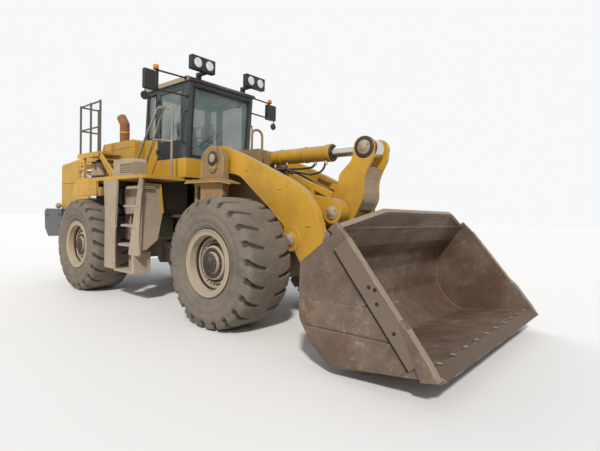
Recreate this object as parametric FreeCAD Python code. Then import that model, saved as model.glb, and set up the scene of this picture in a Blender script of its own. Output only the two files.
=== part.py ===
import FreeCAD, Part
import math
import os

# Wheel loader with an articulated frame, a Z-bar loader linkage and a rock bucket.
# Millimetres. +X points forward to the bucket, +Y to the machine's left, +Z up.
# Sizes below are measured from the front axle; save() moves the whole machine so that
# its origin lies on the ground, under the middle of its length.

V = FreeCAD.Vector
os.makedirs("parts", exist_ok=True)

# Running clearances
PIN_GAP = 0.08           # a pin in its bore, or a rod in its gland
SIDE_GAP = 12.0          # between plates that turn past each other
LUG_GAP = 6.0            # between a cylinder's eye and its lugs
ROD_PIN_GAP = 10.0       # from the end of a rod's pin to the plate beside it

# Chassis
WHEELBASE = 4450.0
AXLE_Z = 975.0           # height of the wheel centres
TRACK_HALF = 1325.0      # middle of the machine to the middle of a tyre
HITCH_X = -WHEELBASE / 2
REAR_AXLE_X = -WHEELBASE
FRAME_SEAT_Z = 1235.0    # top of the pads on the axles

# Wheels
TYRE_R = AXLE_Z
TYRE_W = 890.0
LUG_COUNT = 22           # lugs along each shoulder of a tyre
GROOVE_HALF_W = 24.0
GROOVE_IN_W = 150.0      # from the middle of the tread to the inner end of a groove
GROOVE_DEPTH = (32.0, 105.0)   # at the inner end and at the shoulder
RIM_R = 488.0            # outside of the rim's flange
RIM_BARREL_R = 420.0
RIM_WALL = 20.0
RIM_HALF_W = 383.0
FLANGE_T = 28.0
SPINDLE_R = 150.0
HUB_R = 262.0

# Axles
AXLE_TUBE_R = 190.0
AXLE_DIFF_R = 370.0
BRAKE_R = 330.0
PAD_INNER_Y = 305.0
PAD_OUTER_Y = 405.0
PAD_HALF_L = 230.0

# Loader arms: side outline in the X-Z plane and the pins
BOOM_HINGE = (-840.0, 2630.0)
BUCKET_PIN = (1660.0, 470.0)
LEVER_PIN = (1320.0, 1750.0)
LIFT_ROD_PIN = (800.0, 1345.0)
BULKHEAD_X = (HITCH_X + 675, HITCH_X + 755)   # the front frame's rear wall
LIFT_BASE_PIN = (BULKHEAD_X[1] + 170, 1290.0)
CROSS_TUBE = (860.0, 1790.0)
CROSS_TUBE_R = 165.0
BOOM_OUT_Y = TRACK_HALF - TYRE_W / 2 - 90
BOOM_T = 130.0
BOOM_ROOT_R = 235.0
BOOM_TIP_R = 195.0
BIG_PIN_R = 75.0
MID_PIN_R = 60.0
LIFT_BOSS_R = 185.0
GUARD_BAR_Y = (300.0, 365.0)

# Bell crank and its link
LEVER_TOP = (1680.0, 2710.0)
LEVER_FOOT = (1150.0, 830.0)
LEVER_GAP_HALF = 180.0
LEVER_PLATE_T = 55.0
BRACKET_IN_Y = 250.0
BRACKET_OUT_Y = 450.0
LINK_BUCKET_PIN = (1755.0, 740.0)
LINK_HALF_W = 75.0
LINK_END_R = 85.0

# Tilt cylinder
TILT_BASE = (-490.0, 2710.0)
TILT_BARREL_R = 127.0
TILT_HEAD_R = 142.0
TILT_ROD_SHOWN = 723.0    # from the barrel's end to the rod's pin
TILT_PISTON_AT = 680.0    # from the base pin to the rod's inner end
TILT_ROD_R = 80.0
TILT_EYE_R = 140.0
TILT_EYE_HALF_W = 95.0

# Lift cylinders
LIFT_Y = 520.0
LIFT_BARREL_R = 100.0
LIFT_ROD_SHOWN = 250.7
LIFT_PISTON_AT = 230.0
LIFT_ROD_R = 58.0
LIFT_EYE_R = 125.0
LIFT_EYE_HALF_W = 85.0
LUG_T = 60.0

# Steering cylinders
STEER_Z = 1010.0
STEER_BASE = (-850.0, 420.0)     # from the hitch
STEER_ROD_PIN = (300.0, 520.0)   # from the hitch
STEER_BARREL_R = 70.0
STEER_ROD_SHOWN = 439.3
STEER_PISTON_AT = 440.0
STEER_ROD_R = 35.0
STEER_EYE_R = 75.0
STEER_PIN_R = 35.0
STEER_EYE_HALF_H = 45.0
STEER_LUG_T = 40.0

# Front frame
TOWER_IN_Y = (300.0, 360.0)
TOWER_OUT_Y = (BOOM_OUT_Y + 40, BOOM_OUT_Y + 160)
BULKHEAD_HALF_W = TRACK_HALF - TYRE_W / 2 - 60
WEB_REAR_X = HITCH_X + 300
WEB_REAR_TOP_Z = 1575.0
FENDER_Z = (2235.0, 2275.0)
FENDER_OUT_Y = TRACK_HALF - 275
FENDER_TIP = (-300.0, 2185.0)
PIN_CAP = (95.0, 230.0)  # half width and half height of the cap over the arm's pin
PIN_CAP_T = 35.0
HOSE_ARCH_X = TILT_BASE[0] - 300
HOSE_ARCH_Z = (2450.0, 3260.0)
HITCH_R = 225.0
HITCH_PIN_R = 70.0
HITCH_UPPER_Z = (1400.0, 1500.0)   # the rear frame's upper tongue
HITCH_LOWER_Z = (600.0, 700.0)
HITCH_FORK_T = 60.0

# Rear frame
REAR_PLATE_Y = (330.0, 400.0)
REAR_TOP_Z = 1600.0
NOSE_X = HITCH_X - 525
NOSE_JOINT_X = REAR_AXLE_X + TYRE_R + 175
NOSE_Y = (240.0, 310.0)
FLOOR_T = 50.0
REAR_ARM_X = REAR_AXLE_X - 240
ARM_OUT_Y = 1540.0
ARM_H = 70.0
CAB_WALL_X = REAR_AXLE_X + TYRE_R + 105
CAB_POST_X = (HITCH_X - 475, HITCH_X - 395)
CAB_FLOOR_HALF_W = 740.0
TAIL_X = REAR_AXLE_X - 2970
COUNTERWEIGHT_X = REAR_AXLE_X - 1870
COUNTERWEIGHT_HALF_W = 1320.0
COUNTERWEIGHT_TOP_Z = 1720.0
TOW_EAR_Z = (1180.0, 1230.0, 1340.0, 1390.0)
TOW_HALF_W = 170.0
TOW_DEPTH = 250.0
TOW_BORE_R = 32.5
TOW_WELL_R = 55.0        # the well above the ears that the pin is dropped through
TOW_PIN_X = TAIL_X + 110

# Door hinges
HINGE_RISE = 20.0        # from the door's skin out to the hinge's axis
HINGE_REACH = 45.0
KNUCKLE_R = 16.0
KNUCKLE_H = 40.0
FIXED_KNUCKLE_H = 14.0
HINGE_GAP = 3.0
DOOR_PIN_R = 8.0

# Cab
CAB_HALF_W = 800.0
CAB_L = 1470.0
CAB_FRONT_X = HITCH_X + 345
CAB_REAR_X = CAB_FRONT_X - CAB_L
CAB_TOP_FRONT_X = CAB_FRONT_X + 90
CAB_REAR_LEAN = 80.0     # how far the upper rear wall leans forward
CAB_BASE_Z = 2365.0
CAB_SILL_Z = 2745.0
CAB_REAR_SILL_Z = 3190.0
CAB_EAVE_Z = 4160.0
CAB_ROOF_Z = 4255.0
ROOF_OUT = 30.0          # the roof's overhang at the sides
CAB_T = 60.0
DOOR_X = (CAB_FRONT_X - 960, CAB_FRONT_X - 120)
DOOR_Z = (CAB_SILL_Z, CAB_EAVE_Z - 50)
DOOR_T = 50.0
DOOR_RIM = 60.0
GLASS_T = 8.0
WINDOW_RIM = 90.0
REAR_WINDOW_RIM = 130.0

# Hood and decks
DECK_Z = (2300.0, 2360.0)
DECK_OUT_Y = 1620.0
DECK_FRONT_X = HITCH_X + 265
DECK_REAR_X = REAR_AXLE_X - 300
HOOD_HALF_W = 1000.0
HOOD_FRONT_X = CAB_REAR_X - 50
HOOD_REAR_X = REAR_AXLE_X - 2700
HOOD_TOP_Z = 3200.0
HOOD_TAIL_Z = 2860.0
HOOD_STEP_X = REAR_AXLE_X - 400
HOOD_STEP_Z = 3060.0
HOOD_T = 30.0
ENGINE_X = (REAR_AXLE_X - 1850, REAR_AXLE_X - 250)
ENGINE_HALF_W = 480.0
ENGINE_TOP_Z = 2640.0
ENGINE_DOOR_X = (REAR_AXLE_X - 1630, REAR_AXLE_X - 590)
ENGINE_DOOR_Z = (2400.0, 2860.0)
DOOR_GAP = 9.0
GRILLE_HALF_W = 880.0
GRILLE_GAP = 12.0
GRILLE_Z = (1770.0, 2790.0)
GRILLE_HINGE_Z = (1950.0, 2600.0)
GRILLE_T = 40.0
SKIRT_X = (REAR_AXLE_X - 290, REAR_AXLE_X + 690)
SKIRT_Z = 2010.0
TANK_X = (CAB_WALL_X + 60, HITCH_X - 535)
TANK_Y = (480.0, 1230.0)
TANK_Z = (1130.0, 2190.0)
LADDER_IN_Y = 1330.0
LADDER_FOOT_X = CAB_WALL_X + 410
LADDER_STEP_X = (HITCH_X - 755, HITCH_X - 5)
LADDER_PLATE_Y = 1580.0
MUDGUARD_X = (HITCH_X + 105, HITCH_X + 135)
UPPER_DECK_Z = 2930.0
UPPER_DECK_X = (REAR_AXLE_X - 510, REAR_AXLE_X + 510)
UPPER_DECK_OUT_Y = 1500.0
STEP_BOX_X = (CAB_REAR_X + 70, CAB_REAR_X + 810)
STEP_BOX_Y = (1210.0, 1500.0)
STEP_BOX_Z = 2700.0
STAIR_Y = (1060.0, 1450.0)
RAIL_R = 22.0
RAIL_BAR_R = RAIL_R - 4
RAIL_Y = 1450.0
RAIL_TOP_Z = 4000.0
RAIL_MID_Z = RAIL_TOP_Z - 550
GUARD_RAIL_Y = -1030.0
STACK_X = REAR_AXLE_X - 50
STACK_Y = -650.0
STACK_R = 105.0
STACK_H = 490.0
LAMP_Y = (400.0, 920.0)
LAMP_X = (CAB_TOP_FRONT_X + 130, CAB_TOP_FRONT_X + 240)
LAMP_Z = (CAB_ROOF_Z + 65, CAB_ROOF_Z + 310)
MIRROR_Y = 1430.0
MIRROR_X = CAB_FRONT_X - 20

# Bucket: side outline
BUCKET_HALF_W = 1900.0
BUCKET_WALL = 60.0
BUCKET_SHELL_T = 40.0
LIP = (3607.0, 262.0)
BUCKET_TOP = (2560.0, 1480.0)    # upper front corner of a side plate
BUCKET_TOE = (3430.0, 420.0)     # where the side plate meets the lip
CUTTER_W = (93.0, 76.0)          # how far the side cutters reach back and down from that edge
CUTTER_T = 25.0
SPILL_LEAN = 32.0                # degrees
SPILL_BASE = (2215.0, 1390.0)
SPILL_T = 40.0
BUCKET_BACK = [(2374, 110, 160), (2111, 298, 120), (1930, 553, 160), (1921, 867, 300), (1926, 1183, 120),
               (2228, 1414)]


# Shapes shared by the pieces

def box(x0, x1, y0, y1, z0, z1):
    return Part.makeBox(x1 - x0, y1 - y0, z1 - z0, V(x0, y0, z0))


def rounded_wire(points, place):
    """Closed wire of lines and tangent arcs; each point is (u, v) or (u, v, corner radius)."""
    count = len(points)
    corners = []
    for i, point in enumerate(points):
        here = V(point[0], point[1], 0)
        before = V(points[i - 1][0], points[i - 1][1], 0) - here
        after = V(points[(i + 1) % count][0], points[(i + 1) % count][1], 0) - here
        radius = point[2] if len(point) > 2 else 0
        if radius == 0:
            corners.append((here, None, here))
            continue
        before.normalize()
        after.normalize()
        half = before.getAngle(after) / 2
        reach = radius / math.tan(half)
        middle = before + after
        middle.normalize()
        crown = here + middle * (radius / math.sin(half) - radius)
        corners.append((here + before * reach, crown, here + after * reach))
    edges = []
    for i, (start, crown, end) in enumerate(corners):
        if crown is not None:
            edges.append(Part.Arc(place(start), place(crown), place(end)).toShape())
        following = corners[(i + 1) % count][0]
        if end.distanceToPoint(following) > 1e-6:
            edges.append(Part.LineSegment(place(end), place(following)).toShape())
    return Part.Wire(edges)


def plate_y(points, y0, y1):
    """Outline in X-Z, from y0 to y1."""
    wire = rounded_wire(points, lambda p: V(p.x, y0, p.y))
    return Part.Face(wire).extrude(V(0, y1 - y0, 0))


def plate_z(points, z0, z1):
    """Outline in X-Y, from z0 to z1."""
    wire = rounded_wire(points, lambda p: V(p.x, p.y, z0))
    return Part.Face(wire).extrude(V(0, 0, z1 - z0))


def plate_x(points, x0, x1):
    """Outline in Y-Z, from x0 to x1."""
    wire = rounded_wire(points, lambda p: V(x0, p.x, p.y))
    return Part.Face(wire).extrude(V(x1 - x0, 0, 0))


def rod(start, end, radius):
    return Part.makeCylinder(radius, start.distanceToPoint(end), start, end - start)


def tube(points, radius, bend):
    """Round bar of straight runs and tangent arcs. A bend takes up 0.45 of its shorter run at most."""
    edges = []
    start = points[0]
    for before, here, after in zip(points, points[1:], points[2:]):
        back = before - here
        ahead = after - here
        run = min(back.Length, ahead.Length)
        back.normalize()
        ahead.normalize()
        half = back.getAngle(ahead) / 2
        turn_r = min(bend, 0.45 * run * math.tan(half))
        reach = turn_r / math.tan(half)
        middle = back + ahead
        middle.normalize()
        crown = here + middle * (turn_r / math.sin(half) - turn_r)
        edges.append(Part.LineSegment(start, here + back * reach).toShape())
        edges.append(Part.Arc(here + back * reach, crown, here + ahead * reach).toShape())
        start = here + ahead * reach
    edges.append(Part.LineSegment(start, points[-1]).toShape())
    ring = Part.Wire([Part.makeCircle(radius, points[0], points[1] - points[0])])
    return Part.Wire(edges).makePipeShell([ring], True, False)


def pin_y(at, radius, y0, y1):
    """Cylinder along Y at a point (x, z)."""
    return Part.makeCylinder(radius, y1 - y0, V(at[0], y0, at[1]), V(0, 1, 0))


def revolve_y(profile, x, z, y_mid, side):
    """Profile of (offset along Y, radius) turned about the Y axis through (x, z)."""
    wire = Part.makePolygon([V(x, y_mid + side * w, z + r) for w, r in profile + profile[:1]])
    return Part.Face(wire).revolve(V(x, 0, z), V(0, 1, 0), 360)


def fuse(pieces):
    whole = pieces[0]
    if len(pieces) > 1:
        whole = whole.fuse(pieces[1:])
    return whole.removeSplitter()


def mirrored(shape):
    return shape.mirror(V(0, 0, 0), V(0, 1, 0))


def both_sides(shape):
    """A piece and its mirror image, as separate solids of one node."""
    return Part.makeCompound([shape, mirrored(shape)])


# Wheels and axles

def tyre_blank():
    """Tyre about the Y axis at the origin, with grooves between the lugs of both shoulders."""
    shoulder_w = TYRE_W / 2 - 40
    outer = [(-RIM_HALF_W + FLANGE_T + 5, RIM_BARREL_R), (-RIM_HALF_W + FLANGE_T + 5, RIM_R + 5),
             (-TYRE_W / 2 + 18, RIM_R + 110), (-TYRE_W / 2, TYRE_R * 0.73), (-TYRE_W / 2 + 4, TYRE_R * 0.83),
             (-shoulder_w, TYRE_R - 60), (-shoulder_w + 35, TYRE_R - 22), (-TYRE_W / 4, TYRE_R)]
    body = revolve_y(outer + [(-w, r) for w, r in reversed(outer)], 0, 0, 0, 1)
    over = TYRE_R + 20
    end_w = TYRE_W / 2 + 15
    groove = plate_x([(GROOVE_IN_W, over), (GROOVE_IN_W, TYRE_R - GROOVE_DEPTH[0]),
                      (end_w, TYRE_R - GROOVE_DEPTH[1]), (end_w, over)], -GROOVE_HALF_W, GROOVE_HALF_W)
    pitch = 360 / LUG_COUNT
    grooves = []
    for shape, start in ((groove, 0), (mirrored(groove), pitch / 2)):
        for i in range(LUG_COUNT):
            turned = shape.copy()
            turned.rotate(V(0, 0, 0), V(0, 1, 0), start + i * pitch)
            grooves.append(turned)
    return body.cut(grooves)


def tyre(blank, x, side):
    placed = blank.copy()
    placed.translate(V(x, side * TRACK_HALF, AXLE_Z))
    return placed


def rim(x, side):
    inside = RIM_BARREL_R - RIM_WALL
    disc_w = 150.0
    disc_t = 35.0
    barrel = [(-RIM_HALF_W, inside), (-RIM_HALF_W, RIM_R), (-RIM_HALF_W + FLANGE_T, RIM_R),
              (-RIM_HALF_W + FLANGE_T, RIM_BARREL_R), (RIM_HALF_W - FLANGE_T, RIM_BARREL_R),
              (RIM_HALF_W - FLANGE_T, RIM_R), (RIM_HALF_W, RIM_R), (RIM_HALF_W, inside + 10),
              (disc_w + disc_t + 90, inside), (disc_w + disc_t, inside - 60),
              (disc_w + disc_t, HUB_R), (disc_w + disc_t + 85, HUB_R - 12), (disc_w + disc_t + 100, HUB_R - 40),
              (disc_w + disc_t + 100, HUB_R - 95), (disc_w + disc_t + 140, HUB_R - 110),
              (disc_w + disc_t + 140, 0), (disc_w + 10, 0), (disc_w + 10, SPINDLE_R + PIN_GAP),
              (disc_w - 60, SPINDLE_R + PIN_GAP), (disc_w - 60, HUB_R - 60), (disc_w, HUB_R), (disc_w, inside)]
    return revolve_y(barrel, x, AXLE_Z, side * TRACK_HALF, side)


def axle(x):
    spindle_end = TRACK_HALF + 150.0
    half = [(0, 0), (0, AXLE_DIFF_R), (150, AXLE_DIFF_R), (330, AXLE_TUBE_R + 45), (420, AXLE_TUBE_R),
            (860, AXLE_TUBE_R - 15), (905, BRAKE_R), (1140, BRAKE_R), (1175, 215), (1215, 215),
            (1215, SPINDLE_R), (spindle_end, SPINDLE_R), (spindle_end, 0)]
    housing = fuse([revolve_y(half, x, AXLE_Z, 0, side) for side in (1, -1)])
    pads = [box(x - PAD_HALF_L, x + PAD_HALF_L, min(a, b), max(a, b), AXLE_Z, FRAME_SEAT_Z)
            for a, b in ((PAD_INNER_Y, PAD_OUTER_Y), (-PAD_INNER_Y, -PAD_OUTER_Y))]
    return fuse([housing] + pads)


# Front frame, arms and linkage

def front_frame():
    return fuse([tower_parts(), pivot_forks(), lift_and_tilt_lugs()])


def pair(shape):
    return [shape, mirrored(shape)]


def slab(x0, x1, y0, y1, z0, z1):
    """A box on the left and its mirror image on the right."""
    return pair(box(x0, x1, y0, y1, z0, z1))


def tower_parts():
    """Side plates on the axle, the outer tower plates that hold the arms, and the walls between them."""
    inner_y0, inner_y1 = TOWER_IN_Y
    tower_x = BOOM_HINGE[0]
    back_x, wall_x = BULKHEAD_X
    web = plate_y([(WEB_REAR_X, 480, 60), (wall_x + 60, 480, 80), (-900, 700, 120), (-520, FRAME_SEAT_Z),
                   (480, FRAME_SEAT_Z, 60), (520, 1480, 120), (-250, 1750, 300), (-330, 2500), (-330, 2840, 60),
                   (tower_x - 330, 2840, 90), (tower_x - 380, 2200, 200), (back_x, WEB_REAR_TOP_Z),
                   (WEB_REAR_X, WEB_REAR_TOP_Z, 40)], inner_y0, inner_y1)
    outer = plate_y([(tower_x - 360, 1500, 60), (tower_x - 200, 1560, 60), (tower_x + 240, 2000, 90),
                     (tower_x + 250, 2700, 160), (tower_x - 150, 2855, 160), (tower_x - 360, 2700, 120)],
                    *TOWER_OUT_Y)
    pin = pin_y(BOOM_HINGE, BIG_PIN_R, inner_y1, TOWER_OUT_Y[1] + PIN_CAP_T + 15)
    half_w, half_h = PIN_CAP
    cap = [(tower_x + u * half_w, BOOM_HINGE[1] + v * half_h, half_w - 5)
           for u, v in ((-1, -1), (1, -1), (1, 1), (-1, 1))]
    cap = plate_y(cap, TOWER_OUT_Y[1], TOWER_OUT_Y[1] + PIN_CAP_T)
    parts = pair(web) + pair(outer) + pair(pin) + pair(cap) + fenders()
    parts.append(box(back_x, wall_x, -BULKHEAD_HALF_W, BULKHEAD_HALF_W, 600, 2240))
    parts.append(box(back_x, tower_x - 300, -TOWER_OUT_Y[0], TOWER_OUT_Y[0], 2180, 2240))
    parts.append(box(tower_x - 360, tower_x - 300, -TOWER_OUT_Y[1], TOWER_OUT_Y[1], 1790, 2640))
    parts.append(box(-450, 450, -inner_y1, inner_y1, 1400, 1440))
    parts += slab(-PAD_HALF_L, PAD_HALF_L, PAD_INNER_Y, PAD_OUTER_Y, FRAME_SEAT_Z, FRAME_SEAT_Z + 50)
    return fuse(parts)


def fenders():
    """Plates over the rear of the front tyres, with a drooping tip at the front."""
    rear_x, front_x = BULKHEAD_X[0], BOOM_HINGE[0] + 280
    low, high = FENDER_Z
    inner = TOWER_OUT_Y[0]
    flat = plate_z([(rear_x, inner - 50), (BULKHEAD_X[1] + 120, inner - 50), (BULKHEAD_X[1] + 120, inner),
                    (front_x, inner), (front_x, FENDER_OUT_Y), (rear_x, FENDER_OUT_Y, 60)], low, high)
    tip_x, tip_z = FENDER_TIP
    tip = plate_y([(front_x - 60, low), (front_x, low), (tip_x, tip_z), (tip_x, tip_z + 22), (front_x, high),
                   (front_x - 60, high)], inner, FENDER_OUT_Y)
    return pair(fuse([flat, tip]))


def pivot_forks():
    """Two forks for the frame pivot with their pins, and the lugs of the steering cylinders."""
    parts = []
    for z0, z1 in (HITCH_UPPER_Z, HITCH_LOWER_Z):
        fork_low = z0 - SIDE_GAP - HITCH_FORK_T
        for low in (fork_low, z1 + SIDE_GAP):
            parts.append(hitch_plate(BULKHEAD_X[1], TOWER_IN_Y[1], low, low + HITCH_FORK_T))
        pin_l = z1 + SIDE_GAP + HITCH_FORK_T - fork_low
        parts.append(Part.makeCylinder(HITCH_PIN_R, pin_l, V(HITCH_X, 0, fork_low)))
    x, y = HITCH_X + STEER_ROD_PIN[0], STEER_ROD_PIN[1]
    arm = [(x - 80, y - 75, 60), (x - 80, y + 75, 60), (x + 120, y + 80, 40), (BULKHEAD_X[1] - 30, 700),
           (BULKHEAD_X[1] - 30, TOWER_IN_Y[0]), (x + 30, TOWER_IN_Y[0], 40)]
    parts += steer_lugs(arm)
    return fuse(parts)


def steer_lugs(outline, pin_at=None):
    """Upper and lower lug on both sides, and the pin between them where the barrel's eye turns."""
    half = STEER_EYE_HALF_H + LUG_GAP
    low_z = STEER_Z - half - STEER_LUG_T
    pieces = [plate_z(outline, low, low + STEER_LUG_T) for low in (low_z, STEER_Z + half)]
    if pin_at:
        pieces.append(Part.makeCylinder(STEER_PIN_R, 2 * (half + STEER_LUG_T), V(*pin_at, low_z)))
    return [side for piece in pieces for side in pair(piece)]


def lift_and_tilt_lugs():
    """Lugs at the feet of the lift cylinders, and the tilt cylinder's bracket on top of the tower."""
    x, z = LIFT_BASE_PIN
    y0 = LIFT_Y + LIFT_EYE_HALF_W + LUG_GAP
    y1 = y0 + LUG_T
    lug = plate_y([(BULKHEAD_X[1] - 20, z - 260), (x + 110, z - 150, 110), (x + 110, z + 150, 110),
                   (BULKHEAD_X[1] - 20, z + 240)], y0, y1)
    parts = pair(lug) + pair(pin_y(LIFT_BASE_PIN, MID_PIN_R, TOWER_IN_Y[1] - 10, y1))
    x, z = TILT_BASE
    y0 = TILT_EYE_HALF_W + LUG_GAP
    lug = plate_y([(x - 330, 2380), (x + 155, 2380, 40), (x + 145, z + 140, 130), (x - 145, z + 140, 130),
                   (x - 330, 2500, 60)], y0, y0 + LUG_T)
    parts += pair(lug)
    parts.append(box(x - 330, x + 155, -TOWER_IN_Y[1], TOWER_IN_Y[1], 2300, 2390))
    parts.append(pin_y(TILT_BASE, MID_PIN_R, -y0 - LUG_T, y0 + LUG_T))
    arch_y = y0 + LUG_T / 2
    low, high = HOSE_ARCH_Z
    arch = [V(HOSE_ARCH_X, -arch_y, low), V(HOSE_ARCH_X, -arch_y, high), V(HOSE_ARCH_X, arch_y, high),
            V(HOSE_ARCH_X, arch_y, low)]
    parts.append(tube(arch, RAIL_R, arch_y))
    return fuse(parts)


def hitch_plate(x_end, half_w, z0, z1):
    """Tongue with a round end at the hitch, reaching to x_end."""
    end = Part.makeCylinder(HITCH_R, z1 - z0, V(HITCH_X, 0, z0))
    lo, hi = min(HITCH_X, x_end), max(HITCH_X, x_end)
    reach = math.copysign(300, x_end - HITCH_X)
    body = plate_z([(HITCH_X, -HITCH_R), (HITCH_X + reach, -half_w), (x_end, -half_w),
                    (x_end, half_w), (HITCH_X + reach, half_w), (HITCH_X, HITCH_R)], z0, z1)
    return fuse([end, body]) if hi > lo else end


def boom():
    root_x, root_z = BOOM_HINGE
    tip_x, tip_z = BUCKET_PIN
    arm = plate_y([(root_x + 60, root_z - 210, 60), (-340, 2330, 500), (-50, 2090, 900), (365, 1775, 900),
                   (650, 1530, 90), (690, 1230, 160), (870, 1180, 120), (1060, 900, 500),
                   (tip_x - BOOM_TIP_R - 60, tip_z, 100), (tip_x, tip_z - BOOM_TIP_R, 80),
                   (tip_x + BOOM_TIP_R - 60, tip_z, 60), (1520, 900, 400), (1410, 1350, 300), (1270, 1760, 350),
                   (1020, 2080, 350), (770, 2222, 900), (-180, 2630, 900), (-660, 2815, 400),
                   (root_x + 40, root_z + 225, 60)], BOOM_OUT_Y - BOOM_T, BOOM_OUT_Y)
    bosses = [pin_y(BOOM_HINGE, BOOM_ROOT_R, BOOM_OUT_Y - BOOM_T, BOOM_OUT_Y),
              pin_y(BUCKET_PIN, BOOM_TIP_R, BOOM_OUT_Y - BOOM_T, BOOM_OUT_Y),
              pin_y(LIFT_ROD_PIN, LIFT_BOSS_R, BOOM_OUT_Y - BOOM_T, BOOM_OUT_Y + 12),
              pin_y(LIFT_ROD_PIN, MID_PIN_R + 45, BOOM_OUT_Y - BOOM_T, BOOM_OUT_Y + 30)]
    side = fuse([arm] + bosses)
    side = side.cut(pin_y(BOOM_HINGE, BIG_PIN_R + PIN_GAP, 0, BOOM_OUT_Y + 50))
    cross = pin_y(CROSS_TUBE, CROSS_TUBE_R, -BOOM_OUT_Y + BOOM_T / 2, BOOM_OUT_Y - BOOM_T / 2)
    bracket = plate_y([(CROSS_TUBE[0] - 120, CROSS_TUBE[1] - 200, 80), (LEVER_PIN[0], LEVER_PIN[1] - 185, 160),
                       (LEVER_PIN[0] + 200, LEVER_PIN[1], 180), (LEVER_PIN[0] + 40, LEVER_PIN[1] + 200, 160),
                       (CROSS_TUBE[0] - 120, CROSS_TUBE[1] + 250, 80)], BRACKET_IN_Y, BRACKET_OUT_Y)
    bracket = bracket.fuse(pin_y(LEVER_PIN, 160, BRACKET_IN_Y, BRACKET_OUT_Y + 40))
    pivot = pin_y(LEVER_PIN, BIG_PIN_R, -BRACKET_IN_Y, BRACKET_IN_Y)
    tips = pin_y(BUCKET_PIN, MID_PIN_R, BOOM_OUT_Y - BOOM_T - 110, BOOM_OUT_Y + 110)
    bar = plate_y([(405, 2293, 20), (1200, 1960, 20), (1215, 2057, 20), (435, 2367, 20)], *GUARD_BAR_Y)
    strut = plate_y([(740, 1960), (850, 1940), (880, 2120), (800, 2150)], *GUARD_BAR_Y)
    parts = [cross, pivot] + pair(side) + pair(bracket) + pair(tips) + pair(bar) + pair(strut)
    return fuse(parts)


def bell_crank():
    """Two side plates with a hub between them, a web behind and forks at both ends."""
    y0, y1 = LEVER_GAP_HALF, LEVER_GAP_HALF + LEVER_PLATE_T
    side = plate_y([(LEVER_FOOT[0] - 120, LEVER_FOOT[1] - 60, 60), (LEVER_FOOT[0], LEVER_FOOT[1] - 140, 100),
                    (LEVER_FOOT[0] + 125, LEVER_FOOT[1] - 60, 60), (LEVER_PIN[0] + 190, LEVER_PIN[1] - 120, 200),
                    (1690, 1960, 300), (1672, 2250, 500), (LEVER_TOP[0] + 150, LEVER_TOP[1] - 150, 80),
                    (LEVER_TOP[0] + 165, LEVER_TOP[1] + 160, 150), (LEVER_TOP[0] - 165, LEVER_TOP[1] + 160, 150),
                    (LEVER_TOP[0] - 200, LEVER_TOP[1] - 170, 200), (1250, 2330, 150), (1225, 2000, 200),
                    (LEVER_PIN[0] - 200, LEVER_PIN[1], 150)], y0, y1)
    hub = pin_y(LEVER_PIN, 190, -y1, y1)
    web = box(LEVER_PIN[0] - 60, LEVER_PIN[0] + 330, -y0, y0, LEVER_PIN[1] + 150, LEVER_PIN[1] + 330)
    front = box(LEVER_PIN[0] + 260, LEVER_PIN[0] + 300, -y0, y0, LEVER_PIN[1] + 150, LEVER_PIN[1] + 470)
    foot_pin = pin_y(LEVER_FOOT, MID_PIN_R, -y1, y1)
    body = fuse([side, mirrored(side), hub, web, front, foot_pin])
    return body.cut(pin_y(LEVER_PIN, BIG_PIN_R + PIN_GAP, -y1, y1))


def bucket_link():
    start, end = LEVER_FOOT, LINK_BUCKET_PIN
    length = math.dist(start, end)
    angle = math.degrees(math.atan2(end[1] - start[1], end[0] - start[0]))
    bar = fuse([pin_y((0, 0), 110, -LINK_HALF_W, LINK_HALF_W),
                box(0, length, -LINK_HALF_W, LINK_HALF_W, -60, 60),
                pin_y((length, 0), LINK_END_R, -LINK_HALF_W, LINK_HALF_W)])
    bar = bar.cut(pin_y((0, 0), MID_PIN_R + PIN_GAP, -LINK_HALF_W, LINK_HALF_W))
    bar.rotate(V(0, 0, 0), V(0, 1, 0), -angle)
    bar.translate(V(start[0], 0, start[1]))
    return bar


def cylinder_parts(base, pin, mid, upright, barrel_r, rod_shown, head_r, rod_r, piston_at, eye_r, eye_half,
                   pin_r, pin_half):
    """Barrel and rod between two pins. The barrel's eye is bored for its pin; the rod's carries its own."""
    length = math.dist(base, pin)
    barrel_l = length - rod_shown
    head_l = barrel_r * 0.7
    neck_l = eye_r + 50.0
    axis = V(0, 0, 1) if upright else V(0, 1, 0)

    def across(u, radius, half):
        return Part.makeCylinder(radius, 2 * half, V(u, 0, 0) - axis * half, axis)

    def along(u0, u1, radius):
        return Part.makeCylinder(radius, u1 - u0, V(u0, 0, 0), V(1, 0, 0))

    def neck(u0, u1, half_w, half_h):
        y, z = (half_h, half_w) if upright else (half_w, half_h)
        return box(u0, u1, -y, y, -z, z)

    barrel = fuse([across(0, eye_r, eye_half), neck(0, neck_l, eye_half, eye_r * 0.7),
                   along(neck_l, barrel_l - head_l, barrel_r), along(barrel_l - head_l, barrel_l, head_r)])
    barrel = barrel.cut(along(eye_r + 10, barrel_l, rod_r + PIN_GAP))
    barrel = barrel.cut(across(0, pin_r + PIN_GAP, eye_half))
    piston = fuse([along(piston_at, length - eye_r * 0.4, rod_r), across(length, eye_r, eye_half),
                   across(length, pin_r, pin_half)])
    angle = math.degrees(math.atan2(pin[1] - base[1], pin[0] - base[0]))
    for piece in (barrel, piston):
        if upright:
            piece.rotate(V(0, 0, 0), V(0, 0, 1), angle)
            piece.translate(V(base[0], base[1], mid))
        else:
            piece.rotate(V(0, 0, 0), V(0, 1, 0), -angle)
            piece.translate(V(base[0], mid, base[1]))
    return barrel, piston


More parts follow.
